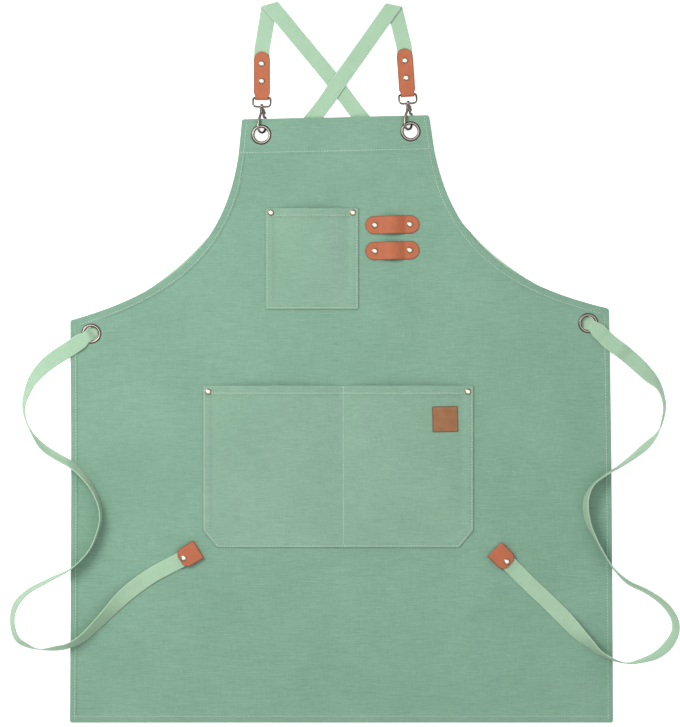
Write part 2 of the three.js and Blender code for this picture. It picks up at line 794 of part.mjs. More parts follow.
// Where the straps' hooks and tabs are
function hookPlace(strap) {
  const eyelet = eyeletAt(strap.side, true);
  const x = eyelet.x + strap.hookShift;
  const y = eyelet.y + bendRise;
  const collarY = y + collar.height;
  const toTab = new THREE.Vector2(-Math.sin(strap.tabTurn), Math.cos(strap.tabTurn));
  const bar = new THREE.Vector2(x, collarY).addScaledVector(toTab, bailLength);
  return { x, y, collarY, bar, toTab };
}

function tieRows(strap, table) {
  const eyelet = eyeletAt(-strap.side, false);
  const flip = strap.side; // the first curve turns left on the left side and right on the right side
  return table.map((row) => ({
    x: eyelet.x - strap.side * row.out * strap.tieReach,
    y: eyelet.y - row.down * strap.tieDrop,
    lean: flip * row.lean,
  }));
}

function strapStations(strap, table) {
  const { bar, toTab } = hookPlace(strap);
  const onTab = (distance, z) =>
    new THREE.Vector3(bar.x + toTab.x * distance, bar.y + toTab.y * distance, z);
  const stations = [];
  const flat = (place, heading) => {
    stations.push({ place, across: leftOf(heading).multiplyScalar(webbingWidth / 2) });
  };
  const tabHeading = new THREE.Vector3(toTab.x, toTab.y, 0);
  const fold = new THREE.Vector3(...strap.fold, 0);
  const tabEnd = tab.length + 2;
  const start = onTab(tabEnd, 0);
  const before = fold.clone().sub(start).normalize();
  const firstRoute = new THREE.Vector3(...strap.route[0], 0);
  const after = firstRoute.sub(fold).normalize();
  const turned = foldStations(fold, before, after);
  const runIn = fold.distanceTo(start) - turned.clear;
  for (const distance of [tab.strapStart, tab.length / 2, tabEnd]) {
    flat(onTab(distance, stackStrap), tabHeading);
  }
  for (const share of [0.25, 0.5, 0.75, 1]) {
    const heading = tabHeading.clone().lerp(before, Math.min(1, share * 2)).normalize();
    const z = mix(stackStrap, layHeight, ramp(share, 0, 0.75));
    flat(start.clone().addScaledVector(before, runIn * share).setZ(z), heading);
  }
  stations.push(...turned.stations);

  // From the fold on, the webbing lies with its other face up
  const eyelet = eyeletAt(-strap.side, false);
  const leaving = turned.stations.at(-1).place.clone().setZ(0);
  const ends = [{ x: leaving.x, y: leaving.y, lean: 0 }];
  for (const [x, y] of strap.route) ends.push({ x, y, lean: 0 });
  ends.push({ x: eyelet.x, y: eyelet.y, lean: 0 });
  const way = trace([...ends, ...tieRows(strap, table)]);
  const through = way.nearest(eyelet.x, eyelet.y);
  const over = strap.side > 0 ? way.nearest(...crossing) : null;
  const distances = [];
  for (let d = turned.clear; d < through - 30; d += 30) distances.push(d);
  const nearHole = [-20, -12, -8, -6, -4.5, -3, 0, 3, 4.5, 6, 9, 13, 17, 22, 27, 32, 38, 44];
  for (const offset of nearHole) distances.push(through + offset);
  const tipStart = way.length - (tip.length - tip.strapEnd) - 1;
  const run = tipStart - (through + 53);
  const count = Math.round(run / 11);
  for (let i = 0; i <= count; i++) distances.push(through + 53 + (run * i) / count);
  distances.push(way.length);

  const lying = distances.map((distance) => {
    const { place, heading, lean } = way.at(distance);
    const offset = distance - through;
    const inHole = 1 - ramp(Math.abs(offset), 7, 20);
    const width = mix(webbingWidth, holeWidth, inHole);
    const angle = THREE.MathUtils.degToRad(lean);
    const across = leftOf(heading).multiplyScalar(Math.cos(angle)).addScaledVector(up, Math.sin(angle));
    across.multiplyScalar(-width / 2);
    let z = layHeight;
    if (offset < 0) {
      z += 2 * foldRadius * (1 - ramp(distance, foldFade.near, foldFade.far));
      if (over !== null) {
        const off = ramp(Math.abs(distance - over), crossingFade.near, crossingFade.far);
        z += (webbing + gap + crossingSpare) * (1 - off);
      }
    } else {
      const reach = Math.max(5, (Math.abs(Math.cos(angle)) * width) / 2 + 2);
      const ground = groundUnder(place.x, place.y, reach);
      const standing = (Math.abs(Math.sin(angle)) * width + Math.abs(Math.cos(angle)) * webbing) / 2;
      z = ground + (ground > 0 ? gap : floorGap) + standing;
      if (distance >= tipStart - 1) z = canvas + stackStrap;
    }
    return { place: place.setZ(z), across, offset, distance };
  });

  // Past the rim the webbing bridges each step down instead of bending into it
  const steepest = 0.3;
  const tie = lying.filter((station) => station.offset > 5);
  const bridge = (order) => {
    for (let i = 1; i < order.length; i++) {
      const span = Math.abs(order[i].distance - order[i - 1].distance);
      order[i].place.z = Math.max(order[i].place.z, order[i - 1].place.z - steepest * span);
    }
  };
  bridge(tie);
  bridge(tie.slice().reverse());
  const rimHeight = tie[0].place.z;
  for (const station of lying) {
    if (Math.abs(station.offset) < 5) {
      station.place.z = mix(layHeight, rimHeight, ramp(station.offset, -4.5, 5));
    }
  }
  stations.push(...lying);
  return { stations, end: way.at(way.length) };
}

function leatherStackDrill(x, y) {
  return drill(x, y, shankRadius + shankClearance, -high, high, 8);
}

// The tab in its own frame: its bar at the origin, its length along +Y, on the surface at z = 0
function tabGeometry() {
  const inner = bailRadius + gap;
  const outer = inner + leather;
  const upperFace = stackTop;
  const shape = new THREE.Shape();
  shape.moveTo(tab.length, stackBase);
  shape.lineTo(tab.length, stackBase + leather);
  shape.lineTo(0, stackBase + leather);
  shape.absarc(0, barHeight, inner, -Math.PI / 2, -1.5 * Math.PI, true);
  shape.lineTo(tab.closing, upperFace - leather);
  shape.lineTo(tab.length, upperFace - leather);
  shape.lineTo(tab.length, upperFace);
  shape.lineTo(tab.closing, upperFace);
  shape.lineTo(0, barHeight + outer);
  shape.absarc(0, barHeight, outer, Math.PI / 2, 1.5 * Math.PI, false);
  shape.closePath();
  const folded = new THREE.ExtrudeGeometry(shape, {
    depth: tab.width,
    bevelEnabled: false,
    curveSegments: 4,
  });
  folded.translate(0, 0, -tab.width / 2);
  folded.applyMatrix4(
    new THREE.Matrix4().makeBasis(
      new THREE.Vector3(0, 1, 0),
      new THREE.Vector3(0, 0, 1),
      new THREE.Vector3(1, 0, 0),
    ),
  );
  return folded;
}

// A flat block over an outline, tall enough to trim leather with
function trimBlock(shape) {
  const block = new THREE.ExtrudeGeometry(shape, { depth: 2 * high, bevelEnabled: false, curveSegments: 4 });
  block.translate(0, 0, -high);
  return block;
}

function trimmed(geometry, shape, holes) {
  let solid = solidOf(geometry).intersect(solidOf(trimBlock(shape)));
  for (const hole of holes) solid = solid.subtract(solidOf(hole));
  return geometryOf(solid);
}

function tabOutline() {
  const half = tab.width / 2;
  const shape = new THREE.Shape();
  const neck = tab.neck / 2;
  shape.moveTo(-neck, -10);
  shape.lineTo(neck, -10);
  shape.lineTo(neck, 3);
  shape.lineTo(half, 6);
  shape.lineTo(half, tab.length - half);
  shape.absarc(0, tab.length - half, half, 0, Math.PI, false);
  shape.lineTo(-half, 6);
  shape.lineTo(-neck, 3);
  shape.closePath();
  return shape;
}

// The tip in its own frame: the fold at the origin, its length towards -X, on the surface at z = 0
function tipGeometry() {
  const inside = webbing / 2 + gap;
  const outside = inside + leather;
  const shape = new THREE.Shape();
  shape.moveTo(-tip.length, stackBase);
  shape.lineTo(-outside, stackBase);
  shape.absarc(-outside, stackStrap, outside, -Math.PI / 2, Math.PI / 2, false);
  shape.lineTo(-tip.length, stackTop);
  shape.lineTo(-tip.length, stackTop - leather);
  shape.lineTo(-outside, stackTop - leather);
  shape.absarc(-outside, stackStrap, inside, Math.PI / 2, -Math.PI / 2, true);
  shape.lineTo(-tip.length, stackBase + leather);
  shape.closePath();
  const folded = new THREE.ExtrudeGeometry(shape, {
    depth: tip.width,
    bevelEnabled: false,
    curveSegments: 4,
  });
  folded.rotateX(Math.PI / 2);
  folded.translate(0, tip.width / 2, 0);
  return folded;
}

function tipOutline() {
  const half = tip.width / 2;
  const shape = new THREE.Shape();
  shape.moveTo(10, -half);
  shape.lineTo(10, half);
  shape.lineTo(-tip.length + tip.corner, half);
  shape.absarc(-tip.length + tip.corner, half - tip.corner, tip.corner, Math.PI / 2, Math.PI, false);
  shape.absarc(-tip.length + tip.corner, tip.corner - half, tip.corner, Math.PI, 1.5 * Math.PI, false);
  shape.closePath();
  return shape;
}

function bail(strap) {
  const { bar, toTab, x, collarY } = hookPlace(strap);
  const halfWidth = bailWidth / 2 - bailRadius;
  const top = new THREE.Vector3(bar.x, bar.y, barHeight);
  const low = new THREE.Vector3(x, collarY, hookAxis);
  const downward = low.clone().sub(top);
  const length = downward.length();
  downward.normalize();
  const sideways = new THREE.Vector3(toTab.y, -toTab.x, 0);
  const normal = sideways.clone().cross(downward).normalize();
  const corners = [
    [halfWidth, 0, 0],
    [halfWidth, length, 0.5 * Math.PI],
    [-halfWidth, length, Math.PI],
    [-halfWidth, 0, 1.5 * Math.PI],
  ];
  const places = [];
  for (const [across, along, turn] of corners) {
    const inX = Math.sign(across) * (Math.abs(across) - bailCorner);
    const inY = along === 0 ? bailCorner : length - bailCorner;
    for (let i = 0; i <= 3; i++) {
      const angle = turn - Math.PI / 2 + (i * Math.PI) / 6;
      const px = inX + bailCorner * Math.cos(angle);
      const py = inY + bailCorner * Math.sin(angle);
      places.push(top.clone().addScaledVector(sideways, px).addScaledVector(downward, py));
    }
  }
  const sides = 6;
  const rings = places.map((place, i) => {
    const before = places.at(i - 1);
    const after = places[(i + 1) % places.length];
    const along = after.clone().sub(before).normalize();
    const out = along.clone().cross(normal);
    return Array.from({ length: sides }, (_, k) => {
      const angle = (2 * Math.PI * (k + 0.5)) / sides;
      return place
        .clone()
        .addScaledVector(normal, bailRadius * Math.cos(angle))
        .addScaledVector(out, bailRadius * Math.sin(angle));
    });
  });
  const boss = new THREE.CylinderGeometry(collar.radius, collar.radius, 2 * collar.half, 12);
  boss.translate(x, collarY, hookAxis);
  const bore = new THREE.CylinderGeometry(postRadius + gap, postRadius + gap, 4 * collar.radius, 12);
  bore.translate(x, collarY, hookAxis);
  const whole = joined([sweep(rings, true), boss]);
  return without(whole, [bore]);
}

// The hook in its own frame: the bend's centre at the origin, its length along +Y, its nose at +X
function hookBody() {
  const half = hookWidth / 2;
  const spine = [
    [-1.2, barrel.low + 2],
    [-2.4, 16.5],
    [-4.9, 11],
    [-6.5, 5],
    [-half, 0],
  ];
  const points = spine.map(([x, y]) => new THREE.Vector3(x, y, 0));
  const bendSteps = 9;
  for (let i = 1; i <= bendSteps; i++) {
    const turn = Math.PI + (i * Math.PI) / bendSteps;
    points.push(new THREE.Vector3(half * Math.cos(turn), half * Math.sin(turn), 0));
  }
  points.push(new THREE.Vector3(half, 0.55 * noseHeight, 0));
  points.push(new THREE.Vector3(half - 0.15, noseHeight, 0));
  const section = new THREE.Shape();
  const sides = 6;
  for (let k = 0; k < sides; k++) {
    const angle = (2 * Math.PI * (k + 0.5)) / sides;
    const corner = [wireRadius * Math.cos(angle), wireRadius * Math.sin(angle)];
    if (k) section.lineTo(...corner);
    else section.moveTo(...corner);
  }
  const wire = new THREE.ExtrudeGeometry(section, {
    steps: 22,
    extrudePath: new THREE.CatmullRomCurve3(points, false, "centripetal"),
    bevelEnabled: false,
  });
  const body = lathe(
    [
      [0, barrel.low],
      [0.7 * barrel.radius, barrel.low],
      [barrel.radius, barrel.low + 1],
      [barrel.radius, barrel.high - 0.8],
      [0.75 * barrel.radius, barrel.high],
      [postRadius, barrel.high],
      [postRadius, knob.low],
      [knob.radius, knob.low],
      [knob.radius, mix(knob.low, knob.high, 0.5)],
      [0.55 * knob.radius, knob.high],
      [0, knob.high],
    ],
    12,
  );
  const slot = new THREE.BoxGeometry(8, barrel.high - barrel.low + 2, slotWidth);
  slot.translate(pivot.x - 2.1 + 4, (barrel.low + barrel.high) / 2 - 1.6, 0);
  const pin = new THREE.CylinderGeometry(pivot.pin, pivot.pin, 1.2 * barrel.radius, 10);
  pin.rotateX(Math.PI / 2);
  pin.translate(pivot.x, pivot.y, 0);
  const cheeks = new THREE.CylinderGeometry(2.3, 2.3, slotWidth + 2.2, 14);
  cheeks.rotateX(Math.PI / 2);
  cheeks.translate(pivot.x, pivot.y, 0);
  return geometryOf(
    solidOf(joined([wire, body, cheeks])).subtract(solidOf(slot)).add(solidOf(pin)),
  );
}

// The lever in the hook's frame
function hookLever() {
  const noseInside = hookWidth / 2 - 0.15 - wireRadius - gap;
  const shape = new THREE.Shape();
  shape.moveTo(noseInside - 1.9, noseHeight - 2);
  shape.lineTo(noseInside, noseHeight - 2);
  shape.lineTo(noseInside + 0.1, noseHeight + 2.2);
  shape.lineTo(noseInside + 2, noseHeight + 3.4);
  shape.lineTo(noseInside + 2, noseHeight + 5);
  shape.lineTo(pivot.x + 1.9, pivot.y + 0.6);
  shape.absarc(pivot.x, pivot.y, 1.7, 0.4, Math.PI, false);
  shape.lineTo(pivot.x - 1.2, pivot.y - 1.6);
  shape.closePath();
  const pinHole = new THREE.Path();
  pinHole.absarc(pivot.x, pivot.y, pivot.pin + pivot.play, 0, 2 * Math.PI, true);
  shape.holes.push(pinHole);
  const plate = new THREE.ExtrudeGeometry(shape, {
    depth: leverThickness,
    bevelEnabled: false,
    curveSegments: 4,
  });
  plate.translate(0, 0, -leverThickness / 2);
  return plate;
}

for (const [word, strap] of Object.entries(straps)) {
  const { x, y, bar } = hookPlace(strap);
  const hookFrame = new THREE.Matrix4().makeRotationY(hookTurn).setPosition(x, y, hookAxis);
  add(`hook_bail_${word}`, bail(strap), hookMetal);
  add(`hook_body_${word}`, hookBody(), hookMetal, hookFrame);
  add(`hook_lever_${word}`, hookLever(), hookMetal, hookFrame);

  const tabFrame = placed(bar.x, bar.y, 0, strap.tabTurn);
  const tabDrills = tab.rivets.map((distance) => leatherStackDrill(0, distance));
  add(`strap_tab_${word}`, trimmed(tabGeometry(), tabOutline(), tabDrills), hide, tabFrame);

  const { stations, end } = strapStations(strap, word === "left" ? rightTie : leftTie);
  const strapDrills = tab.rivets.map((distance) => {
    const at = new THREE.Vector3(0, distance, 0).applyMatrix4(tabFrame);
    return leatherStackDrill(at.x, at.y);
  });
  const tieTurn = Math.atan2(end.heading.y, end.heading.x);
  const tipFrame = placed(
    end.place.x + tip.strapEnd * end.heading.x,
    end.place.y + tip.strapEnd * end.heading.y,
    canvas,
    tieTurn,
  );
  const tipRivet = new THREE.Vector3(-tip.rivetInward, 0, 0);
  const tipRivetAt = tipRivet.clone().applyMatrix4(tipFrame);
  strapDrills.push(leatherStackDrill(tipRivetAt.x, tipRivetAt.y));
  add(`strap_${word}`, without(ribbon(stations), strapDrills), strapWeb);

  // The tie's tip is named for the side where it lies
  const tieSide = word === "left" ? "right" : "left";
  const tipDrill = leatherStackDrill(tipRivet.x, 0);
  add(`strap_tip_${tieSide}`, trimmed(tipGeometry(), tipOutline(), [tipDrill]), hide, tipFrame);

  const stackRivet = () => rivet(stackBase - gap, stackTop + gap);
  ["lower", "upper"].forEach((place, i) => {
    const at = new THREE.Vector3(0, tab.rivets[i], 0).applyMatrix4(tabFrame);
    add(`rivet_tab_${word}_${place}`, stackRivet(), rivetMetal, placed(at.x, at.y, 0));
  });
  add(`rivet_tip_${tieSide}`, stackRivet(), rivetMetal, placed(tipRivetAt.x, tipRivetAt.y, canvas));
}

export default apron;
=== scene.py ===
# Looks of the cross-back apron: canvas, webbing, leather, stitches and metal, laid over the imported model.
import math

import bpy
import numpy as np
from mathutils import Matrix, Vector, noise
from mathutils.geometry import delaunay_2d_cdt


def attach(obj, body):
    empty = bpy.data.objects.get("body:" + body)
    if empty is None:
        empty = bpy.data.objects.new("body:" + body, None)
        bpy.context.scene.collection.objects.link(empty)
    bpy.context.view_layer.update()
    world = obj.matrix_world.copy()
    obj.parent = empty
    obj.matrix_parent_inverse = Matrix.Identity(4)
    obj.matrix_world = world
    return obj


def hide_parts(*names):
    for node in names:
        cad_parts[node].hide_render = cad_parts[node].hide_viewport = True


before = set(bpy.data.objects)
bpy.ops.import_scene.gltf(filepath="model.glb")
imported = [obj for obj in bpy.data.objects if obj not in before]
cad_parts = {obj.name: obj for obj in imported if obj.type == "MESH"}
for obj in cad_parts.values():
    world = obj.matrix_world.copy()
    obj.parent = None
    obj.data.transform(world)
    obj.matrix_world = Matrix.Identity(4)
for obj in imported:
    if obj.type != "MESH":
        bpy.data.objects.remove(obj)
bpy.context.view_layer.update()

# Sizes are in millimetres, as in the solids
MM = 0.001
GAP = 0.3
FLOOR_GAP = 0.15
CANVAS = 1.0
HEMMED = 2.0
LEATHER = 1.4
WEBBING = 1.4
WEBBING_WIDTH = 20.0

TOP = 570.5
CORNER = 316.5
HEM = -209.5
BIB_WIDTH = 241.0
BAND_DEPTH = 45.0
BAND_WIDTH = 252.0
CORNER_WIDTH = 694.0
SKIRT_WIDTH = 700.0
ARMHOLE_BENDS = ((0.085, 0.5), (0.33, 0.82))
SIDE_HEM = 8.0
ARMHOLE_HEM = 10.0
BOTTOM_HEM = 10.0
BIB_DRIFT = 7.7
LAY_TURN = 0.022
UNDER_LIFT = 1.95
LIFT_FULL = 200.0
LIFT_START = 100.0
FLAT_ROUND = 36.0
FADE_ROUND = 90.0

HOLE_RADIUS = 8.75
FLANGE_RADIUS = 13.0
FLANGE = 0.9
BACK_FLANGE = 0.7
TOP_EYELET = (27.0, 20.5)
SIDE_EYELET = (27.0, 18.0)
SIDE_LIFT = 2.9
PATCH = (36.0, 34.0)

HEAD_RADIUS = 4.0
HEAD_HEIGHT = 1.6
BACK_CAP = 0.8

CHEST = {"x": -38.0, "y": 453.5, "width": 120.0, "depth": 130.5, "hem": 10.5, "rim": 13.0, "rivet": 6.0}
WAIST = {"x": -4.3, "y": 225.0, "width": 349.0, "depth": 209.0, "hem": 11.0, "rim": 13.0, "rivet": 8.0}
POCKET_RIVET_INWARD = 7.2
MOUTH_RISE = 6.5
SEAM_SHARE = 0.519
SEAM_RIM = 4.0
CHAMFER = (18.5, 22.0)

LOOP = {"x": 65.5, "y": 432.0, "spacing": 33.3, "length": 69.5, "width": 23.5, "pitch": 45.0, "rise": 5.4}
LOOP_FOOT = 5.5
SMALL_TURN = 0.025
LABEL = {"x": 133.4, "y": 181.7, "side": 33.0, "thickness": 1.2}

WIRE_RADIUS = 1.5
HOOK_WIDTH = 13.6
HOOK_TURN = math.radians(48)
BEND_RISE = 9.3
NOSE_HEIGHT = 14.5
BARREL = (19.2, 25.0, 3.0)
POST_RADIUS = 1.1
COLLAR = (26.7, 1.3, 2.6)
KNOB = (28.4, 30.4, 2.1)
PIVOT = (1.5, 21.8)
PIN_RADIUS = 0.7
LEVER_THICKNESS = 2.0
SLOT_WIDTH = 2.6

BAIL_RADIUS = 1.3
BAIL_WIDTH = 25.2
BAIL_LENGTH = 11.6
BAIL_CORNER = 2.6
BAIL_LOW_CORNER = 4.2
TAB = {"width": 20.8, "neck": 17.6, "length": 59.3, "rivets": (21.4, 43.8), "start": 10.0, "closing": 9.0}
TIP = {"width": 26.0, "length": 28.0, "strap_end": 4.5, "corner": 9.0, "rivet": 22.4}

STRAPS = {
    "left": {
        "side": -1,
        "fold": (-93.2, 714.9),
        "route": [(-14.2, 622), (25.8, 569.7), (93.5, 491.5), (165.2, 409.3), (207, 372.5), (258, 339.5)],
        "turn": 0.0,
        "shift": 0.6,
        "reach": 112.5,
        "drop": 438.0,
    },
    "right": {
        "side": 1,
        "fold": (68.1, 713.6),
        "route": [(-5.9, 612), (-36.7, 569.7), (-188.2, 384.8)],
        "turn": math.radians(4.1),
        "shift": -3.0,
        "reach": 101.5,
        "drop": 406.0,
    },
}
CROSSING = (-6.1, 612.0)
FOLD_RADIUS = 1.2
HOLE_WIDTH = 14.5

# The strap at its side eyelet: distances from the hole's middle, spare width, steps and the tie's slope
NARROWS_UNDER = (4.5, 10)
NARROWS_OVER = (5, 16)
DIP = 4.5
DIP_SPARE = 1.6
TIE_RISE = 5
NEAR_HOLE = (-20, -12, -8, -6, -4.5, -3, 0, 3, 4.5, 6, 9, 13, 17, 22, 27, 32, 38, 44)
UNDER_END = 30
UNDER_STEP = 15.0
TIE_LEAD = 53
TIE_STEP = 7
TIE_SLOPE = 0.3

# Where the strap settles after its fold, and on both sides of the crossing
FOLD_FADE = (24, 52)
CROSSING_FADE = (16, 44)
CROSSING_SPARE = 0.1

# The free ties, as in the solids: outward and downward shares, and the lean in degrees
RIGHT_TIE = [
    (0.244, 0.055, 0), (0.444, 0.094, 5), (0.599, 0.13, 15), (0.714, 0.16, 35), (0.8, 0.185, 62),
    (0.851, 0.217, 74), (0.868, 0.252, 77), (0.828, 0.3, 82), (0.771, 0.329, 95), (0.656, 0.361, 112),
    (0.485, 0.397, 104), (0.347, 0.422, 96), (0.198, 0.445, 92), (0.049, 0.476, 92), (-0.031, 0.523, 106),
    (-0.008, 0.582, 105), (0.084, 0.635, 94), (0.187, 0.682, 90), (0.293, 0.723, 92), (0.455, 0.762, 104),
    (0.663, 0.788, 107), (0.857, 0.823, 110), (0.977, 0.865, 112), (0.994, 0.906, 113), (0.908, 0.947, 120),
    (0.771, 0.976, 112), (0.611, 0.991, 100), (0.455, 0.999, 88), (0.309, 0.991, 82), (0.129, 0.968, 72),
    (0.026, 0.944, 58), (-0.088, 0.918, 36), (-0.271, 0.868, 6), (-0.466, 0.818, 0), (-0.672, 0.768, 0),
    (-0.913, 0.706, 0), (-1.045, 0.672, 0),
]
LEFT_TIE = [
    (0.233, 0.041, 0), (0.537, 0.091, 20), (0.728, 0.142, 47), (0.817, 0.19, 65), (0.855, 0.231, 77),
    (0.83, 0.273, 84), (0.753, 0.314, 90), (0.614, 0.358, 110), (0.449, 0.387, 114), (0.245, 0.416, 112),
    (0.067, 0.46, 106), (-0.06, 0.511, 100), (-0.123, 0.571, 95), (-0.085, 0.628, 93), (0.029, 0.689, 91),
    (0.245, 0.743, 89), (0.512, 0.778, 81), (0.792, 0.816, 75), (0.957, 0.86, 69), (1.0, 0.914, 71),
    (0.944, 0.965, 67), (0.817, 0.987, 72), (0.652, 1.0, 85), (0.449, 0.997, 71), (0.271, 0.987, 68),
    (0.067, 0.956, 58), (-0.187, 0.892, 44), (-0.441, 0.827, 15), (-0.759, 0.768, 0), (-1.122, 0.719, 0),
    (-1.324, 0.689, 0),
]

SKIRT_SPAN = CORNER - HEM
HOOK_AXIS = FLOOR_GAP + WIRE_RADIUS + HOOK_WIDTH / 2 * math.sin(HOOK_TURN)
BAND_LIFT = HOOK_AXIS - HEMMED / 2
STACK_BASE = FLOOR_GAP + BACK_CAP + GAP
STACK_STRAP = STACK_BASE + LEATHER + GAP + WEBBING / 2
STACK_TOP = STACK_BASE + 2 * LEATHER + 2 * GAP + WEBBING
BAR_HEIGHT = STACK_BASE + LEATHER + GAP + BAIL_RADIUS
LAY_HEIGHT = FLOOR_GAP + WEBBING / 2

# Camera and light

FRAME_HEIGHT = 727
MM_PER_PIXEL = 1.289
FRAME_CENTRE = (-1.9, 253.3)
CAMERA_HEIGHT = 5.0
SENSOR = 36.0

camera_data = bpy.data.cameras.new("camera")
camera_data.sensor_width = SENSOR
camera_data.lens = SENSOR * CAMERA_HEIGHT / (FRAME_HEIGHT * MM_PER_PIXEL * MM)
camera_data.clip_end = 50
camera = bpy.data.objects.new("camera", camera_data)
camera.location = (FRAME_CENTRE[0] * MM, FRAME_CENTRE[1] * MM, CAMERA_HEIGHT)
bpy.context.scene.collection.objects.link(camera)
bpy.context.scene.camera = camera
bpy.context.scene.view_settings.view_transform = "Standard"
bpy.context.scene.view_settings.look = "None"


def area_light(name, place, target, size, energy, colour=(1, 1, 1)):
    data = bpy.data.lights.new(name, "AREA")
    data.size = size
    data.energy = energy
    data.color = colour
    light = bpy.data.objects.new(name, data)
    light.location = place
    light.rotation_euler = (Vector(target) - Vector(place)).to_track_quat("-Z", "Y").to_euler()
    bpy.context.scene.collection.objects.link(light)


area_light("key", (-1.05, 0.95, 1.6), (-0.1, 0.25, 0), 0.8, 29, (1, 0.99, 0.975))
area_light("fill", (1.7, -0.6, 2.4), (0.1, 0.2, 0), 1.6, 6, (0.97, 0.99, 1))

world = bpy.data.worlds.new("studio")
world.use_nodes = True
bpy.context.scene.world = world
sky = world.node_tree
sky.nodes.clear()
sky_place = sky.nodes.new("ShaderNodeTexCoord")
sky_split = sky.nodes.new("ShaderNodeSeparateXYZ")
sky_ramp = sky.nodes.new("ShaderNodeValToRGB")
sky_light = sky.nodes.new("ShaderNodeBackground")
sky_out = sky.nodes.new("ShaderNodeOutputWorld")
sky_ramp.color_ramp.elements[0].position = 0.12
sky_ramp.color_ramp.elements[0].color = (0.2, 0.2, 0.2, 1)
sky_ramp.color_ramp.elements[1].position = 0.62
sky_ramp.color_ramp.elements[1].color = (1, 1, 1, 1)
sky_light.inputs["Strength"].default_value = 1.0
sky.links.new(sky_place.outputs["Generated"], sky_split.inputs[0])
sky.links.new(sky_split.outputs["Z"], sky_ramp.inputs[0])
sky.links.new(sky_ramp.outputs[0], sky_light.inputs["Color"])
sky.links.new(sky_light.outputs[0], sky_out.inputs["Surface"])


# Materials

class Look:
    """A material with a few short ways to add nodes."""

    def __init__(self, name, roughness, metallic=0.0):
        self.material = bpy.data.materials.new(name)
        self.material.use_nodes = True
        self.tree = self.material.node_tree
        self.shader = self.tree.nodes["Principled BSDF"]
        self.shader.inputs["Roughness"].default_value = roughness
        self.shader.inputs["Metallic"].default_value = metallic

    def node(self, kind, **inputs):
        made = self.tree.nodes.new(kind)
        for key, value in inputs.items():
            self.put(made.inputs[key.replace("_", " ")], value)
        return made

    def put(self, socket, value):
        if isinstance(value, bpy.types.NodeSocket):
            self.tree.links.new(value, socket)
        else:
            socket.default_value = value

    def math(self, operation, a, b=None):
        made = self.tree.nodes.new("ShaderNodeMath")
        made.operation = operation
        self.put(made.inputs[0], a)
        if b is not None:
            self.put(made.inputs[1], b)
        return made.outputs[0]

    def total(self, *terms):
        """The sum of values, each times its share."""
        parts = [self.math("MULTIPLY", value, share) for value, share in terms]
        made = parts[0]
        for part in parts[1:]:
            made = self.math("ADD", made, part)
        return made

    def coordinates(self, source, scale=(1, 1, 1)):
        place = self.tree.nodes.new("ShaderNodeTexCoord")
        mapping = self.tree.nodes.new("ShaderNodeMapping")
        self.tree.links.new(place.outputs[source], mapping.inputs[0])
        mapping.inputs["Scale"].default_value = scale
        return mapping.outputs[0]

    def noise(self, place, scale, detail=3.0, roughness=0.55):
        inputs = {"Vector": place, "Scale": scale, "Detail": detail, "Roughness": roughness}
        return self.node("ShaderNodeTexNoise", **inputs).outputs["Fac"]

    def ramp(self, value, *stops):
        made = self.tree.nodes.new("ShaderNodeValToRGB")
        self.put(made.inputs[0], value)
        elements = made.color_ramp.elements
        while len(elements) < len(stops):
            elements.new(0.5)
        for element, (position, colour) in zip(elements, stops):
            element.position = position
            element.color = (*colour, 1)
        return made.outputs[0]

    def blend(self, share, a, b, mode="MIX"):
        made = self.tree.nodes.new("ShaderNodeMix")
        made.data_type = "RGBA"
        made.blend_type = mode
        self.put(made.inputs["Factor"], share)
        self.put(made.inputs[6], a if isinstance(a, bpy.types.NodeSocket) else (*a, 1))
        self.put(made.inputs[7], b if isinstance(b, bpy.types.NodeSocket) else (*b, 1))
        return made.outputs[2]

    def span(self, value, low, high, to_low=0.0, to_high=1.0):
        ends = {"From_Min": low, "From_Max": high, "To_Min": to_low, "To_Max": to_high}
        return self.node("ShaderNodeMapRange", Value=value, **ends).outputs[0]

    def split(self, vector):
        made = self.tree.nodes.new("ShaderNodeSeparateXYZ")
        self.tree.links.new(vector, made.inputs[0])
        return made.outputs

    def colour(self, value):
        self.put(self.shader.inputs["Base Color"], value if not isinstance(value, tuple) else (*value, 1))

    def nap(self, sheen, spread, gloss):
        self.shader.inputs["Sheen Weight"].default_value = sheen
        self.shader.inputs["Sheen Roughness"].default_value = spread
        self.shader.inputs["Specular IOR Level"].default_value = gloss

    def bump(self, height, distance, strength=1.0):
        made = self.node("ShaderNodeBump", Distance=distance, Strength=strength, Height=height)
        self.tree.links.new(made.outputs[0], self.shader.inputs["Normal"])


def threads(look, along, across, pitch_along, pitch_across):
    """A plain weave's height from 0 to 1, from two distances in metres."""
    warp = look.math("SINE", look.math("MULTIPLY", along, 2 * math.pi / pitch_along))
    weft = look.math("SINE", look.math("MULTIPLY", across, 2 * math.pi / pitch_across))
    return look.span(look.math("MULTIPLY", warp, weft), -1, 1)


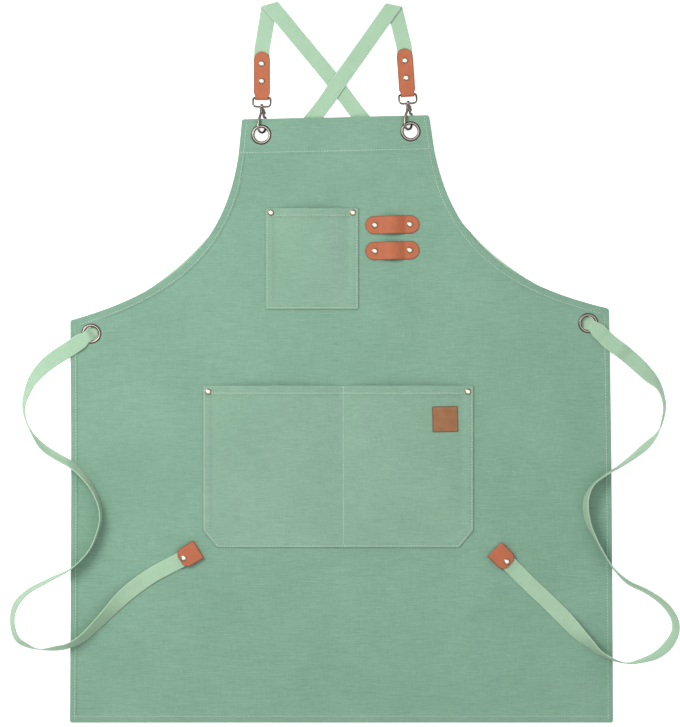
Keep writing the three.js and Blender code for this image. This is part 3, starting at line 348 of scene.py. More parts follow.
def canvas_look(name, base, deep, pale):
    look = Look(name, 0.92)
    place = look.coordinates("Object")
    x, y, _ = look.split(place)
    weave = threads(look, x, y, 1.5 * MM, 1.3 * MM)
    slub_x = look.noise(look.coordinates("Object", (55, 1500, 400)), 1.0, 2.5, 0.6)
    slub_y = look.noise(look.coordinates("Object", (1300, 60, 400)), 1.0, 2.0, 0.6)
    flecks = look.noise(look.coordinates("Object", (260, 700, 400)), 1.0, 3.0, 0.7)
    cloudy = look.noise(place, 9.0, 3.0, 0.55)
    grain = look.total((slub_x, 0.52), (slub_y, 0.2), (flecks, 0.28))
    tone = look.span(grain, 0.36, 0.64)
    colour = look.ramp(tone, (0.0, deep), (0.5, base), (1.0, pale))
    soft = look.ramp(cloudy, (0.3, (0.93, 0.945, 0.94)), (0.7, (1.05, 1.04, 1.045)))
    colour = look.blend(1.0, colour, soft, "MULTIPLY")
    shade = look.ramp(weave, (0.0, (0.9, 0.9, 0.9)), (1.0, (1.06, 1.06, 1.06)))
    colour = look.blend(1.0, colour, shade, "MULTIPLY")
    look.colour(colour)
    height = look.total((weave, 0.55), (grain, 0.75))
    look.bump(height, 0.22 * MM, 0.9)
    look.nap(0.12, 0.6, 0.2)
    return look.material


def webbing_look(name, base, deep, pale):
    look = Look(name, 0.85)
    place = look.coordinates("UV")
    along, across, _ = look.split(place)
    weave = threads(look, along, across, 2.4 * MM, 1.9 * MM)
    ribs = look.span(look.math("SINE", look.math("MULTIPLY", along, 2 * math.pi / (1.2 * MM))), -1, 1)
    cloudy = look.noise(place, 55.0, 3.0, 0.6)
    fibres = look.noise(look.coordinates("UV", (220, 1700, 1)), 1.0, 3.0, 0.6)
    edge = look.math("ABSOLUTE", across)
    # Both edges are painted paler: a painted highlight along the webbing's edges.
    edge_highlight = look.span(edge, 8.6 * MM, 9.2 * MM)
    tone = look.total((weave, 0.45), (fibres, 0.55))
    colour = look.ramp(tone, (0.2, deep), (0.5, base), (0.85, pale))
    soft = look.ramp(cloudy, (0.3, (0.95, 0.96, 0.95)), (0.7, (1.04, 1.03, 1.04)))
    colour = look.blend(1.0, colour, soft, "MULTIPLY")
    colour = look.blend(look.math("MULTIPLY", edge_highlight, 0.45), colour, pale)
    look.colour(colour)
    height = look.total((weave, 0.7), (ribs, 0.3))
    look.bump(height, 0.3 * MM, 0.8)
    look.nap(0.15, 0.5, 0.25)
    return look.material


def leather_look(name, base, deep, pale, burnt):
    """Leather whose edges are burnished darker; the UV's v is the distance in from the edge."""
    look = Look(name, 0.5)
    place = look.coordinates("Object")
    inward = look.split(look.coordinates("UV"))[1]
    cloudy = look.noise(place, 90.0, 4.0, 0.6)
    pores = look.node("ShaderNodeTexVoronoi", Vector=place, Scale=1100.0)
    grain = look.noise(place, 900.0, 3.0, 0.6)
    colour = look.ramp(cloudy, (0.3, deep), (0.5, base), (0.72, pale))
    pits = look.span(pores.outputs["Distance"], 0.0, 0.5)
    shade = look.ramp(pits, (0.0, (0.86, 0.84, 0.83)), (0.6, (1.03, 1.03, 1.03)))
    colour = look.blend(0.8, colour, shade, "MULTIPLY")
    rim = look.span(inward, 0.1 * MM, 1.5 * MM, 1.0, 0.0)
    colour = look.blend(rim, colour, burnt)
    look.colour(colour)
    height = look.total((pits, 0.6), (grain, 0.5))
    look.bump(height, 0.16 * MM, 0.7)
    look.put(look.shader.inputs["Roughness"], look.span(cloudy, 0.3, 0.7, 0.54, 0.64))
    look.shader.inputs["Specular IOR Level"].default_value = 0.3
    return look.material


def metal_look(name, stops, roughness, scratch=0.08):
    """Metal coloured along the UV's v, which runs from 0 in the recess to 1 at the rim; the stops along it
    hold painted shade and painted highlight.
    """
    look = Look(name, roughness, 1.0)
    place = look.coordinates("Object")
    share = look.split(look.coordinates("UV"))[1]
    colour = look.ramp(share, *stops)
    worn = look.noise(place, 420.0, 4.0, 0.65)
    spots = look.ramp(worn, (0.35, (0.78, 0.76, 0.74)), (0.6, (1.05, 1.05, 1.05)))
    look.colour(look.blend(0.7, colour, spots, "MULTIPLY"))
    polish = look.span(worn, 0.3, 0.7, roughness + scratch, roughness - scratch)
    look.put(look.shader.inputs["Roughness"], polish)
    look.bump(worn, 0.05 * MM, 0.3)
    return look.material


canvas = canvas_look("canvas", (0.17, 0.303, 0.221), (0.138, 0.259, 0.186), (0.207, 0.348, 0.261))
# The pockets' cloth is the panel's canvas painted a little lighter: painted light on the pockets.
lit_pocket_canvas = canvas_look(
    "lit_pocket_canvas", (0.19, 0.32, 0.235), (0.156, 0.276, 0.198), (0.229, 0.366, 0.275)
)
webbing = webbing_look("webbing", (0.293, 0.448, 0.31), (0.25, 0.396, 0.263), (0.357, 0.507, 0.373))
leather = leather_look(
    "leather", (0.36, 0.1, 0.042), (0.34, 0.092, 0.038), (0.385, 0.11, 0.047), (0.16, 0.042, 0.022)
)
label_leather = leather_look(
    "label_leather", (0.25, 0.11, 0.046), (0.22, 0.094, 0.038), (0.28, 0.128, 0.056), (0.11, 0.045, 0.022)
)
thread_look = Look("thread", 0.8)
thread_fuzz = thread_look.noise(thread_look.coordinates("Object"), 900.0, 2.0)
thread_look.colour(thread_look.ramp(thread_fuzz, (0.3, (0.38, 0.49, 0.39)), (0.7, (0.52, 0.61, 0.51))))
thread = thread_look.material
# Dark metal with a thin cream band on the crest of the roll: the band is a painted highlight.
eyelet_metal = metal_look(
    "eyelet_metal",
    [(0.0, (0.06, 0.045, 0.04)), (0.38, (0.1, 0.08, 0.07)), (0.46, (0.6, 0.57, 0.48)),
     (0.53, (0.58, 0.55, 0.46)), (0.61, (0.1, 0.085, 0.075)), (1.0, (0.06, 0.05, 0.05))],
    0.3,
)
# Pale brass dome; the dark ring from the groove out to the rim is painted shade.
rivet_metal = metal_look(
    "rivet_metal",
    [(0.0, (0.98, 0.94, 0.82)), (0.5, (0.95, 0.9, 0.78)), (0.64, (0.22, 0.15, 0.1)),
     (0.8, (0.2, 0.14, 0.09)), (1.0, (0.32, 0.25, 0.18))],
    0.36,
)
# Dark metal, lighter higher up: painted light on top and painted shade low down.
hook_metal = metal_look(
    "hook_metal",
    [(0.0, (0.03, 0.027, 0.026)), (0.5, (0.08, 0.072, 0.066)), (1.0, (0.27, 0.24, 0.2))],
    0.3,
)


# Shared geometry

def lerp(a, b, share):
    return a + (b - a) * share


def smooth(value, low, high):
    share = np.clip((value - low) / (high - low), 0, 1)
    return share * share * (3 - 2 * share)


def bell(value, width):
    return np.exp(-((value / width) ** 2))


def gathers(run, fine, broad):
    """Uneven small waves along a seam."""
    return np.sin(run / fine + 2 * np.sin(run / broad))


def ring_faces(rings, sides, closed=False):
    """Faces between rings of points, and over both ends of an open run."""
    faces = []
    for i in range(rings if closed else rings - 1):
        j = (i + 1) % rings
        for k in range(sides):
            n = (k + 1) % sides
            faces.append((i * sides + k, i * sides + n, j * sides + n, j * sides + k))
    if not closed:
        faces.append(tuple(reversed(range(sides))))
        faces.append(tuple((rings - 1) * sides + k for k in range(sides)))
    return faces


def spokes(centre, first, second, radius, sides):
    """Points on a circle, from two directions square to each other."""
    turns = [2 * math.pi * k / sides for k in range(sides)]
    return [centre + radius * (first * math.cos(turn) + second * math.sin(turn)) for turn in turns]


def turned(profile, origin, axis, start, sides, closed=False):
    """Points and faces of a turned body about any axis; start is a direction square to it."""
    axis, start = np.asarray(axis, dtype=float), np.asarray(start, dtype=float)
    points = []
    for radius, height in profile:
        points += spokes(np.asarray(origin) + axis * height, start, np.cross(axis, start), radius, sides)
    return points, ring_faces(len(profile), sides, closed)


def arrays(x, y):
    return np.atleast_1d(np.asarray(x, dtype=float)), np.atleast_1d(np.asarray(y, dtype=float))


def stands_for(made, node):
    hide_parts(node)


def piece(name, points, faces, material, body="apron", uvs=None, shade=True):
    mesh = bpy.data.meshes.new(name)
    mesh.from_pydata((np.asarray(points, dtype=float) * MM).tolist(), [], faces)
    if uvs is not None:
        layer = mesh.uv_layers.new(name="lay")
        corners = np.empty(len(mesh.loops), dtype=np.int64)
        mesh.loops.foreach_get("vertex_index", corners)
        layer.data.foreach_set("uv", (np.asarray(uvs, dtype=float) * MM)[corners].ravel())
    mesh.materials.append(material)
    if shade:
        mesh.shade_smooth()
    made = bpy.data.objects.new(name, mesh)
    bpy.context.scene.collection.objects.link(made)
    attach(made, body)
    return made


def laid(x, y):
    """Where a place on the panel as cut comes to lie."""
    up = np.maximum(0, y) / TOP
    settled = np.clip((y - HEM) / SKIRT_SPAN, 0, 1)
    return x - BIB_DRIFT * up * up, y + LAY_TURN * x * settled


def cut_height(x, y):
    turned = LAY_TURN * x / SKIRT_SPAN
    height = (y + turned * HEM) / (1 + turned)
    return np.where(height < CORNER, height, y - LAY_TURN * x)


def eyelet_list():
    found = {}
    for name, side, top in (
        ("eyelet_top_left", -1, True),
        ("eyelet_top_right", 1, True),
        ("eyelet_side_left", -1, False),
        ("eyelet_side_right", 1, False),
    ):
        inward, down = TOP_EYELET if top else SIDE_EYELET
        edge = lerp(BIB_WIDTH, BAND_WIDTH, down / BAND_DEPTH) / 2 if top else CORNER_WIDTH / 2
        cut = (side * (edge - inward), (TOP if top else CORNER) - down)
        x, y = laid(*cut)
        lift = BAND_LIFT if top else SIDE_LIFT
        found[name] = {"side": side, "top": top, "cut": cut, "x": float(x), "y": float(y), "lift": lift}
    return found


EYELETS = eyelet_list()
RIM_TOP = SIDE_LIFT + HEMMED + GAP + FLANGE


def back_height(x, y):
    """Height of the panel's back over the surface, as in the solids."""
    under = UNDER_LIFT * np.clip((cut_height(x, y) - LIFT_START) / (LIFT_FULL - LIFT_START), 0, 1)
    highest = under
    for eyelet in EYELETS.values():
        distance = np.hypot(x - eyelet["x"], y - eyelet["y"])
        raised = lerp(eyelet["lift"], under, smooth(distance, FLAT_ROUND, FADE_ROUND))
        highest = np.maximum(highest, raised)
    return highest


def panel_rivets():
    found = {}
    for word, pocket in (("chest", CHEST), ("waist", WAIST)):
        for hand, side in (("left", -1), ("right", 1)):
            x = pocket["x"] + side * (pocket["width"] / 2 - POCKET_RIVET_INWARD)
            found[f"rivet_{word}_{hand}"] = (x, pocket["y"] - pocket["rivet"], GAP + HEMMED)
    for word, y in (("upper", LOOP["y"]), ("lower", LOOP["y"] - LOOP["spacing"])):
        for hand, side in (("left", -1), ("right", 1)):
            along = side * LOOP["pitch"] / 2
            place = (LOOP["x"] + along * math.cos(SMALL_TURN), y + along * math.sin(SMALL_TURN))
            found[f"rivet_loop_{word}_{hand}"] = (*place, GAP + LEATHER)
    return found


PANEL_RIVETS = panel_rivets()
LEVEL_BY_EYELET = 15.0
LEVEL_BY_RIVET = 7.0
LEVEL_FADE = 22
LEVEL_RISE = 0.28
STEADY = [(e["x"], e["y"], LEVEL_BY_EYELET) for e in EYELETS.values()]
STEADY += [(x, y, LEVEL_BY_RIVET) for x, y, _ in PANEL_RIVETS.values()]


def ripple(x, y):
    """How far the canvas rises off its even lie: faint waves, and level round the metal."""
    x, y = np.broadcast_arrays(np.asarray(x, dtype=float), np.asarray(y, dtype=float))
    flat = []
    for px, py in zip(x.ravel(), y.ravel()):
        broad = noise.noise(Vector((px / 120, py / 85, 1.3)))
        fine = noise.noise(Vector((px / 46, py / 33, 7.1)))
        flat.append(0.5 + 0.75 * broad + 0.3 * fine)
    wave = np.maximum(np.array(flat).reshape(x.shape), 0)
    for sx, sy, radius in STEADY:
        level = 1 - smooth(np.hypot(x - sx, y - sy), radius, radius + LEVEL_FADE)
        wave = wave * (1 - level) + LEVEL_RISE * level
    return wave


def cut_arm(steps=70):
    foot = np.array([BAND_WIDTH / 2, TOP - BAND_DEPTH])
    corner = np.array([CORNER_WIDTH / 2, CORNER])
    reach, drop = corner[0] - foot[0], foot[1] - corner[1]
    first, second = (foot + np.array([out * reach, -down * drop]) for out, down in ARMHOLE_BENDS)
    share = np.linspace(0, 1, steps)[:, None]
    rest = 1 - share
    return rest**3 * foot + 3 * rest**2 * share * first + 3 * rest * share**2 * second + share**3 * corner


def resampled(points, step):
    """An open line through the same corners, in about equal steps."""
    points = np.asarray(points, dtype=float)
    out = [points[0]]
    for a, b in zip(points[:-1], points[1:]):
        count = max(1, round(float(np.linalg.norm(b - a)) / step))
        out += [lerp(a, b, k / count) for k in range(1, count + 1)]
    return np.array(out)


def eased(points, radius, sharp=0.25):
    """A closed outline whose sharp corners are rounded a little."""
    out = []
    count = len(points)
    for i in range(count):
        before, here, after = points[i - 1], points[i], points[(i + 1) % count]
        a = (before - here) / np.linalg.norm(before - here)
        b = (after - here) / np.linalg.norm(after - here)
        if np.dot(a, b) < -1 + sharp:
            out.append(here)
            continue
        for share in (0, 0.25, 0.5, 0.75, 1):
            start, end = here + a * radius, here + b * radius
            out.append(lerp(lerp(start, here, share), lerp(here, end, share), share))
    return np.array(out)


def edge_distance(x, y, outline, chunk=4000):
    """Distance from each place to a closed outline, a chunk of places at a time."""
    a = outline
    b = np.roll(outline, -1, axis=0)
    run = b - a
    length = np.maximum((run**2).sum(axis=1), 1e-12)
    best = []
    for start in range(0, len(x), chunk):
        px = x[start : start + chunk, None] - a[:, 0]
        py = y[start : start + chunk, None] - a[:, 1]
        share = np.clip((px * run[:, 0] + py * run[:, 1]) / length, 0, 1)
        square = (px - share * run[:, 0]) ** 2 + (py - share * run[:, 1]) ** 2
        best.append(np.sqrt(square.min(axis=1)))
    return np.concatenate(best)


def inside(x, y, outline):
    a, b = outline, np.roll(outline, -1, axis=0)
    crossings = np.zeros(len(x), dtype=int)
    for (ax, ay), (bx, by) in zip(a, b):
        if ay == by:
            continue
        hit = (ay > y) != (by > y)
        crossings += hit & (x < (bx - ax) * (y - ay) / (by - ay) + ax)
    return crossings % 2 == 1


# Radius of a cloth's edge, the height of its rows of points, and the room round a line, in steps
CLOTH_ROUND = 1.1
ROW_SHARE = 0.866
CLEAR_SHARE = 0.55


def cloth(name, outline, offsets, step, height, place, material, holes=(), lines=()):
    """A closed cloth over an outline: height gives its back and front, place moves it to its lie."""
    runs = [np.asarray(outline)] + [np.asarray(hole) for hole in holes]
    fixed, pairs = [], []
    for run in runs:
        start = sum(len(f) for f in fixed)
        fixed.append(run)
        pairs += [(start + i, start + (i + 1) % len(run)) for i in range(len(run))]
    loop = runs[0]
    turn = np.roll(loop, -1, axis=0) - np.roll(loop, 1, axis=0)
    turn /= np.linalg.norm(turn, axis=1)[:, None]
    normal = np.stack([-turn[:, 1], turn[:, 0]], axis=1)
    extra = [loop + normal * offset for offset in offsets]
    extra += [np.asarray(line, dtype=float) for line in lines]
    reach = offsets[-1] + 0.6 * step
    low, high = loop.min(axis=0), loop.max(axis=0)
    rows = np.arange(low[1] + step / 2, high[1], step * ROW_SHARE)
    spread = []
    for i, row in enumerate(rows):
        columns = np.arange(low[0] + (step / 2 if i % 2 else step), high[0], step)
        spread.append(np.stack([columns, np.full(len(columns), row)], axis=1))
    spread = np.concatenate(spread)
    spread = spread[inside(*spread.T, loop)]
    spread = spread[edge_distance(*spread.T, loop) > reach]
    for line in lines:
        line = np.asarray(line, dtype=float)
        far = np.ones(len(spread), dtype=bool)
        for point in line[:: max(1, int(step / 3))]:
            far &= np.hypot(spread[:, 0] - point[0], spread[:, 1] - point[1]) > CLEAR_SHARE * step
        spread = spread[far]
    rings = []
    clearances = [offset - 0.03 for offset in offsets] + [0.3] * len(lines)
    for ring, clearance in zip(extra, clearances):
        ring = ring[inside(*ring.T, loop)]
        rings.append(ring[edge_distance(*ring.T, loop) > clearance])
    free = np.concatenate(rings + [spread])
    for hole in runs[1:]:
        centre = hole.mean(axis=0)
        radius = np.linalg.norm(hole[0] - centre)
        free = free[np.hypot(free[:, 0] - centre[0], free[:, 1] - centre[1]) > radius + 0.4]
    every = np.concatenate(fixed + [free])
    found = delaunay_2d_cdt([Vector(p) for p in every.tolist()], pairs, [], 0, 1e-5)
    flat = np.array([tuple(v) for v in found[0]])
    triangles = np.array(found[2])
    middle = flat[triangles].mean(axis=1)
    keep = inside(*middle.T, loop)
    for hole in runs[1:]:
        keep &= ~inside(*middle.T, hole)
    triangles = triangles[keep]
    distance = edge_distance(*flat.T, loop)
    rim = distance
    for hole in runs[1:]:
        rim = np.minimum(rim, edge_distance(*flat.T, hole))
    back, front = height(*flat.T, distance)
    round_edge = np.sqrt(np.clip(1 - (1 - np.minimum(rim / CLOTH_ROUND, 1)) ** 2, 0, 1))
    centre, half = (back + front) / 2, (front - back) / 2 * round_edge
    px, py = place(*flat.T)
    count = len(flat)
    top = np.stack([px, py, centre + half], axis=1)
    low = np.stack([px, py, centre - half], axis=1)
    under = np.arange(count) + count
    under[rim < 1e-4] = np.arange(count)[rim < 1e-4]
    a, b, c = (flat[triangles[:, k]] for k in range(3))
    area = (b[:, 0] - a[:, 0]) * (c[:, 1] - a[:, 1]) - (b[:, 1] - a[:, 1]) * (c[:, 0] - a[:, 0])
    triangles[area < 0] = triangles[area < 0][:, ::-1]
    triangles = triangles[(under[triangles] != triangles).any(axis=1)]
    faces = np.concatenate([triangles, under[triangles][:, ::-1]])
    used = np.unique(faces)
    renumber = np.zeros(2 * count, dtype=int)
    renumber[used] = np.arange(len(used))
    points = np.concatenate([top, low])[used]
    uvs = np.stack([np.zeros(2 * count), np.tile(distance, 2)], axis=1)[used]
    made = piece(name, points, renumber[faces].tolist(), material, uvs=uvs)
    return made, float(np.abs(area).sum() / 2)


def circle(x, y, radius, count=40):
    turn = np.linspace(0, 2 * math.pi, count, endpoint=False)
    return np.stack([x + radius * np.cos(turn), y + radius * np.sin(turn)], axis=1)


# Panel

ARM = cut_arm()
SIDE_STITCH = 6.3
ARM_STITCH = 8.3
BOTTOM_STITCH = 8.4
BAND_STITCH = 43.3
LAYER_FADE = 1.1

# Distances in from the edge where a cloth gets a row of points, and its step elsewhere
PANEL_ROWS = [0.25, 0.7, 1.3, 3.0, 4.8, 5.6, 6.3, 7.0, 7.7, 8.3, 8.9, 9.6, 10.4, 11.2, 13.0]
PANEL_STEP = 5.0
POCKET_ROWS = [0.25, 0.7, 1.2, 1.8, 2.2, 2.7, 3.4, 5.5, 8.0, 9.2, 10.6]
POCKET_STEP = 4.0
LABEL_ROWS = [0.2, 0.5, 0.9, 1.5, 2.0, 2.5, 3.4]
LABEL_STEP = 3.0
OUTLINE_STEP = 3.4
HOLE_CUT = 9.9


def panel_outline():
    half = [(BIB_WIDTH / 2, TOP), *ARM.tolist(), (SKIRT_WIDTH / 2, HEM)]
    right = resampled(half, OUTLINE_STEP)
    left = right[::-1] * np.array([-1, 1])
    bottom = resampled([(SKIRT_WIDTH / 2, HEM), (-SKIRT_WIDTH / 2, HEM)], OUTLINE_STEP)[1:-1]
    top = resampled([(-BIB_WIDTH / 2, TOP), (BIB_WIDTH / 2, TOP)], OUTLINE_STEP)[1:-1]
    loop = np.concatenate([right[::-1], top[::-1], left[::-1], bottom[::-1]])
    return eased(loop, 3.2)


def edge_kind(x, y):
    """Hem depth and stitch distance by which edge is the nearest."""
    x, y = np.abs(x), np.asarray(y)
    side_x = np.interp(y, [HEM, CORNER], [SKIRT_WIDTH / 2, CORNER_WIDTH / 2])
    bottom = (y - HEM) < (side_x - x)
    skirt = y < CORNER - 14
    band = y > TOP - BAND_DEPTH - 30
    hem = np.where(skirt, np.where(bottom, BOTTOM_HEM, SIDE_HEM), np.where(band, SIDE_HEM, ARMHOLE_HEM))
    on_skirt = np.where(bottom, BOTTOM_STITCH, SIDE_STITCH)
    stitch = np.where(skirt, on_skirt, np.where(band, SIDE_STITCH, ARM_STITCH))
    return hem, stitch


def doubled(x, y, distance):
    """1 where the canvas is double."""
    hem, _ = edge_kind(x, y)
    near_top = smooth(y, TOP - BAND_DEPTH - LAYER_FADE, TOP - BAND_DEPTH)
    near_edge = 1 - smooth(distance, hem, hem + LAYER_FADE)
    inner = CORNER_WIDTH / 2 - SIDE_HEM - PATCH[0]
    patch = smooth(np.abs(x), inner - 2, inner) * (1 - smooth(CORNER - y, PATCH[1], PATCH[1] + 2))
    patch = patch * (y < CORNER)
    return np.maximum(np.maximum(near_top, near_edge), patch)


def panel_lie(x, y, distance):
    """Back and front of the panel, from places as cut."""
    lx, ly = laid(x, y)
    _, stitch = edge_kind(x, y)
    base = back_height(lx, ly) + ripple(lx, ly)
    off_stitch = distance - stitch
    run = lx * 0.9 + ly * 1.1
    pucker = 0.2 * gathers(run, 1.9, 17) * bell(off_stitch, 4.5)
    groove = 0.2 * bell(off_stitch, 0.8)
    band_off = y - (TOP - BAND_STITCH)
    groove = np.maximum(groove, 0.32 * bell(band_off, 0.8))
    pucker = pucker + 0.2 * gathers(lx, 2.1, 19) * bell(band_off, 5.0)
    front = base + CANVAS + doubled(x, y, distance) + pucker - groove
    return base, front


PANEL_EDGE = panel_outline()
panel_holes = [circle(*eyelet["cut"], HOLE_CUT) for eyelet in EYELETS.values()]
band_lines = [
    resampled([(-121, TOP - BAND_STITCH + dy), (121, TOP - BAND_STITCH + dy)], 3.0)
    for dy in (-3.2, -1.6, -0.7, 0, 0.7, 1.6, 3.2)
]
panel, panel_area = cloth(
    "apron_canvas",
    PANEL_EDGE,
    PANEL_ROWS,
    PANEL_STEP,
    panel_lie,
    laid,
    canvas,
    panel_holes,
    band_lines,
)
stands_for(panel, "apron_panel")


def panel_front(x, y):
    """Height of the panel's front at places where it lies."""
    x, y = arrays(x, y)
    cy = cut_height(x, y)
    cx = x + BIB_DRIFT * (np.maximum(0, cy) / TOP) ** 2
    return panel_lie(cx, cy, edge_distance(cx, cy, PANEL_EDGE))[1]


# Pockets

def pocket_sides(pocket):
    half = pocket["width"] / 2
    return pocket["x"] - half, pocket["x"] + half


def pocket_rise(pocket, across, down):
    rim, width = pocket["rim"], pocket["width"]
    spans = [(rim, width - rim)]
    if pocket is WAIST:
        seam = SEAM_SHARE * width
        spans = [(rim, seam - SEAM_RIM), (seam + SEAM_RIM, width - rim)]
    room = pocket["depth"] - rim
    fall = 1 - np.minimum(1, np.maximum(0, down) / room) ** 1.7
    rise = 0
    for low, high in spans:
        side = np.abs(2 * np.clip((across - low) / (high - low), 0, 1) - 1)
        rise = rise + MOUTH_RISE * (1 - side**2.4) * fall * (across > low) * (across < high)
    return rise


POCKET_FOLD = 9.0
POCKET_STITCH = 2.2
HEM_STITCH = 1.2


def pocket_lie(pocket, x, y, distance):
    across = x - pocket_sides(pocket)[0]
    down = pocket["y"] - y
    base = back_height(x, y) + CANVAS + ripple(x, y) + 0.05 + pocket_rise(pocket, across, down)
    hem = 1 - smooth(down, pocket["hem"], pocket["hem"] + LAYER_FADE)
    fold = 1 - smooth(distance, POCKET_FOLD, POCKET_FOLD + 1.6)
    thick = CANVAS + np.maximum(hem, 0.75 * fold)
    groove = 0.3 * bell(distance - POCKET_STITCH, 0.7) * (down > 4)
    groove = np.maximum(groove, 0.3 * bell(down - pocket["hem"] + HEM_STITCH, 0.7))
    if pocket is WAIST:
        seam = across - SEAM_SHARE * pocket["width"]
        groove = np.maximum(groove, 0.35 * bell(seam, 0.8))
        pull = 0.25 * gathers(y, 2.2, 23) * bell(seam, 5)
        thick = thick + pull * (np.abs(seam) < 15)
    run = x + 1.07 * y
    pucker = 0.16 * gathers(run, 1.8, 15) * bell(distance - POCKET_STITCH, 4)
    return base, base + thick + pucker - groove


def pocket_outline(pocket):
    left, right = pocket_sides(pocket)
    top, low = pocket["y"], pocket["y"] - pocket["depth"]
    if pocket is WAIST:
        across, up = CHAMFER
        points = [(left, low + up), (left + across, low), (right - across, low), (right, low + up)]
    else:
        points = [(left, low), (right, low)]
    points += [(right, top), (left, top)]
    return eased(resampled([*points, points[0]], 3.0)[:-1], 1.2)


def make_pocket(name, node, pocket):
    left, right = pocket_sides(pocket)
    lines = []
    for past_hem in (-2.2, -HEM_STITCH, -0.3, LAYER_FADE):
        y = pocket["y"] - (pocket["hem"] + past_hem)
        lines.append(resampled([(left + 3, y), (right - 3, y)], 3.0))
    if pocket is WAIST:
        for off in (-3.5, -1.4, -0.6, 0, 0.6, 1.4, 3.5):
            x = left + SEAM_SHARE * pocket["width"] + off
            lines.append(resampled([(x, pocket["y"] - 14), (x, pocket["y"] - pocket["depth"] + 3)], 3.0))
    made, area = cloth(
        name,
        pocket_outline(pocket),
        POCKET_ROWS,
        POCKET_STEP,
        lambda x, y, distance: pocket_lie(pocket, x, y, distance),
        lambda x, y: (x, y),
        lit_pocket_canvas,
        (),
        lines,
    )
    stands_for(made, node)
    return made, area


chest_cloth, _ = make_pocket("chest_pocket_cloth", "chest_pocket", CHEST)
waist_cloth, waist_area = make_pocket("waist_pocket_cloth", "waist_pocket", WAIST)


def pocket_front(pocket):
    outline = pocket_outline(pocket)

    def height(x, y):
        x, y = arrays(x, y)
        return pocket_lie(pocket, x, y, edge_distance(x, y, outline))[1]

    return height


# Stitches

STITCH_SIDES = 6


def stitches(name, lines, height, pitch=3.7, length=2.7, radius=0.38):
    """One short raised thread after another along each line of places where the cloth lies."""
    points, faces = [], []
    skin = ring_faces(5, STITCH_SIDES)
    for line in lines:
        line = np.asarray(line, dtype=float)
        steps = np.linalg.norm(np.diff(line, axis=0), axis=1)
        run = np.concatenate([[0], np.cumsum(steps)])
        starts = np.arange(0.6, run[-1] - length, pitch)
        for start in starts:
            shares = start + length * np.array([0, 0.14, 0.5, 0.86, 1.0])
            px = np.interp(shares, run, line[:, 0])
            py = np.interp(shares, run, line[:, 1])
            pz = height(px, py) + np.array([-0.1, 0.12, 0.24, 0.12, -0.1])
            spine = np.stack([px, py, pz], axis=1)
            along = spine[-1] - spine[0]
            along /= np.linalg.norm(along)
            across = np.cross([0, 0, 1], along)
            across /= np.linalg.norm(across)
            up = np.cross(along, across)
            base = len(points)
            for place, share in zip(spine, (0.35, 0.9, 1.0, 0.9, 0.35)):
                points += spokes(place, across, up, radius * share, STITCH_SIDES)
            faces += [tuple(base + i for i in face) for face in skin]
    return piece(name, points, faces, thread)


def offset_line(points, distance):
    points = np.asarray(points, dtype=float)
    turn = np.gradient(points, axis=0)
    turn /= np.linalg.norm(turn, axis=1)[:, None]
    return points + np.stack([turn[:, 1], -turn[:, 0]], axis=1) * distance


def panel_stitch_lines():
    arm = offset_line(ARM, ARM_STITCH)
    foot_x = BAND_WIDTH / 2 - SIDE_STITCH
    ease = np.linspace(0, 1, 12)
    first = arm[:12].copy()
    first[:, 0] = lerp(foot_x + (ARM[:12, 0] - ARM[0, 0]), first[:, 0], ease)
    arm = np.concatenate([first, arm[12:]])
    arm = arm[arm[:, 0] < CORNER_WIDTH / 2 - SIDE_STITCH]
    side = [(CORNER_WIDTH / 2 - SIDE_STITCH, arm[-1, 1] - 1.5), (SKIRT_WIDTH / 2 - SIDE_STITCH, HEM + 3)]
    bib = [(BIB_WIDTH / 2 - SIDE_STITCH, TOP - 2), (foot_x, TOP - BAND_DEPTH + 0.1)]
    lines = []
    for line in (resampled(bib, 3), resampled(arm, 3), resampled(side, 3)):
        for mirror in (1, -1):
            lines.append(line * np.array([mirror, 1]))
    end, level = SKIRT_WIDTH / 2 - 3, HEM + BOTTOM_STITCH
    bottom = resampled([(-end, level), (end, level)], 3)
    band_run = resampled([(-124, TOP - BAND_STITCH), (124, TOP - BAND_STITCH)], 3)
    lines += [bottom, band_run]
    return [np.stack(laid(line[:, 0], line[:, 1]), axis=1) for line in lines]


def pocket_stitch_lines(pocket):
    edge, far_edge = pocket_sides(pocket)
    left, right = edge + POCKET_STITCH, far_edge - POCKET_STITCH
    top, low = pocket["y"], pocket["y"] - pocket["depth"] + POCKET_STITCH
    if pocket is WAIST:
        across, up = CHAMFER[0] - 1, CHAMFER[1] - 1
        corner = [(left, low + up), (left + across, low), (right - across, low), (right, low + up)]
    else:
        corner = [(left, low), (right, low)]
    border = resampled([(left, top - 1), *corner, (right, top - 1)], 3)
    y = top - pocket["hem"] + HEM_STITCH
    lines = [border, resampled([(left + 1, y), (right - 1, y)], 3)]
    if pocket is WAIST:
        x = edge + SEAM_SHARE * pocket["width"]
        lines.append(resampled([(x, top - 1), (x, low)], 3))
    return lines


panel_thread = stitches("stitches_panel", panel_stitch_lines(), panel_front)
chest_thread = stitches("stitches_chest_pocket", pocket_stitch_lines(CHEST), pocket_front(CHEST))
waist_thread = stitches("stitches_waist_pocket", pocket_stitch_lines(WAIST), pocket_front(WAIST), radius=0.5)


# Bands of webbing and leather

LEATHER_EDGE = 0.55
WEBBING_EDGE = 0.6
WEBBING_STEP = 2.5
SELVEDGE_PUFF = 0.12


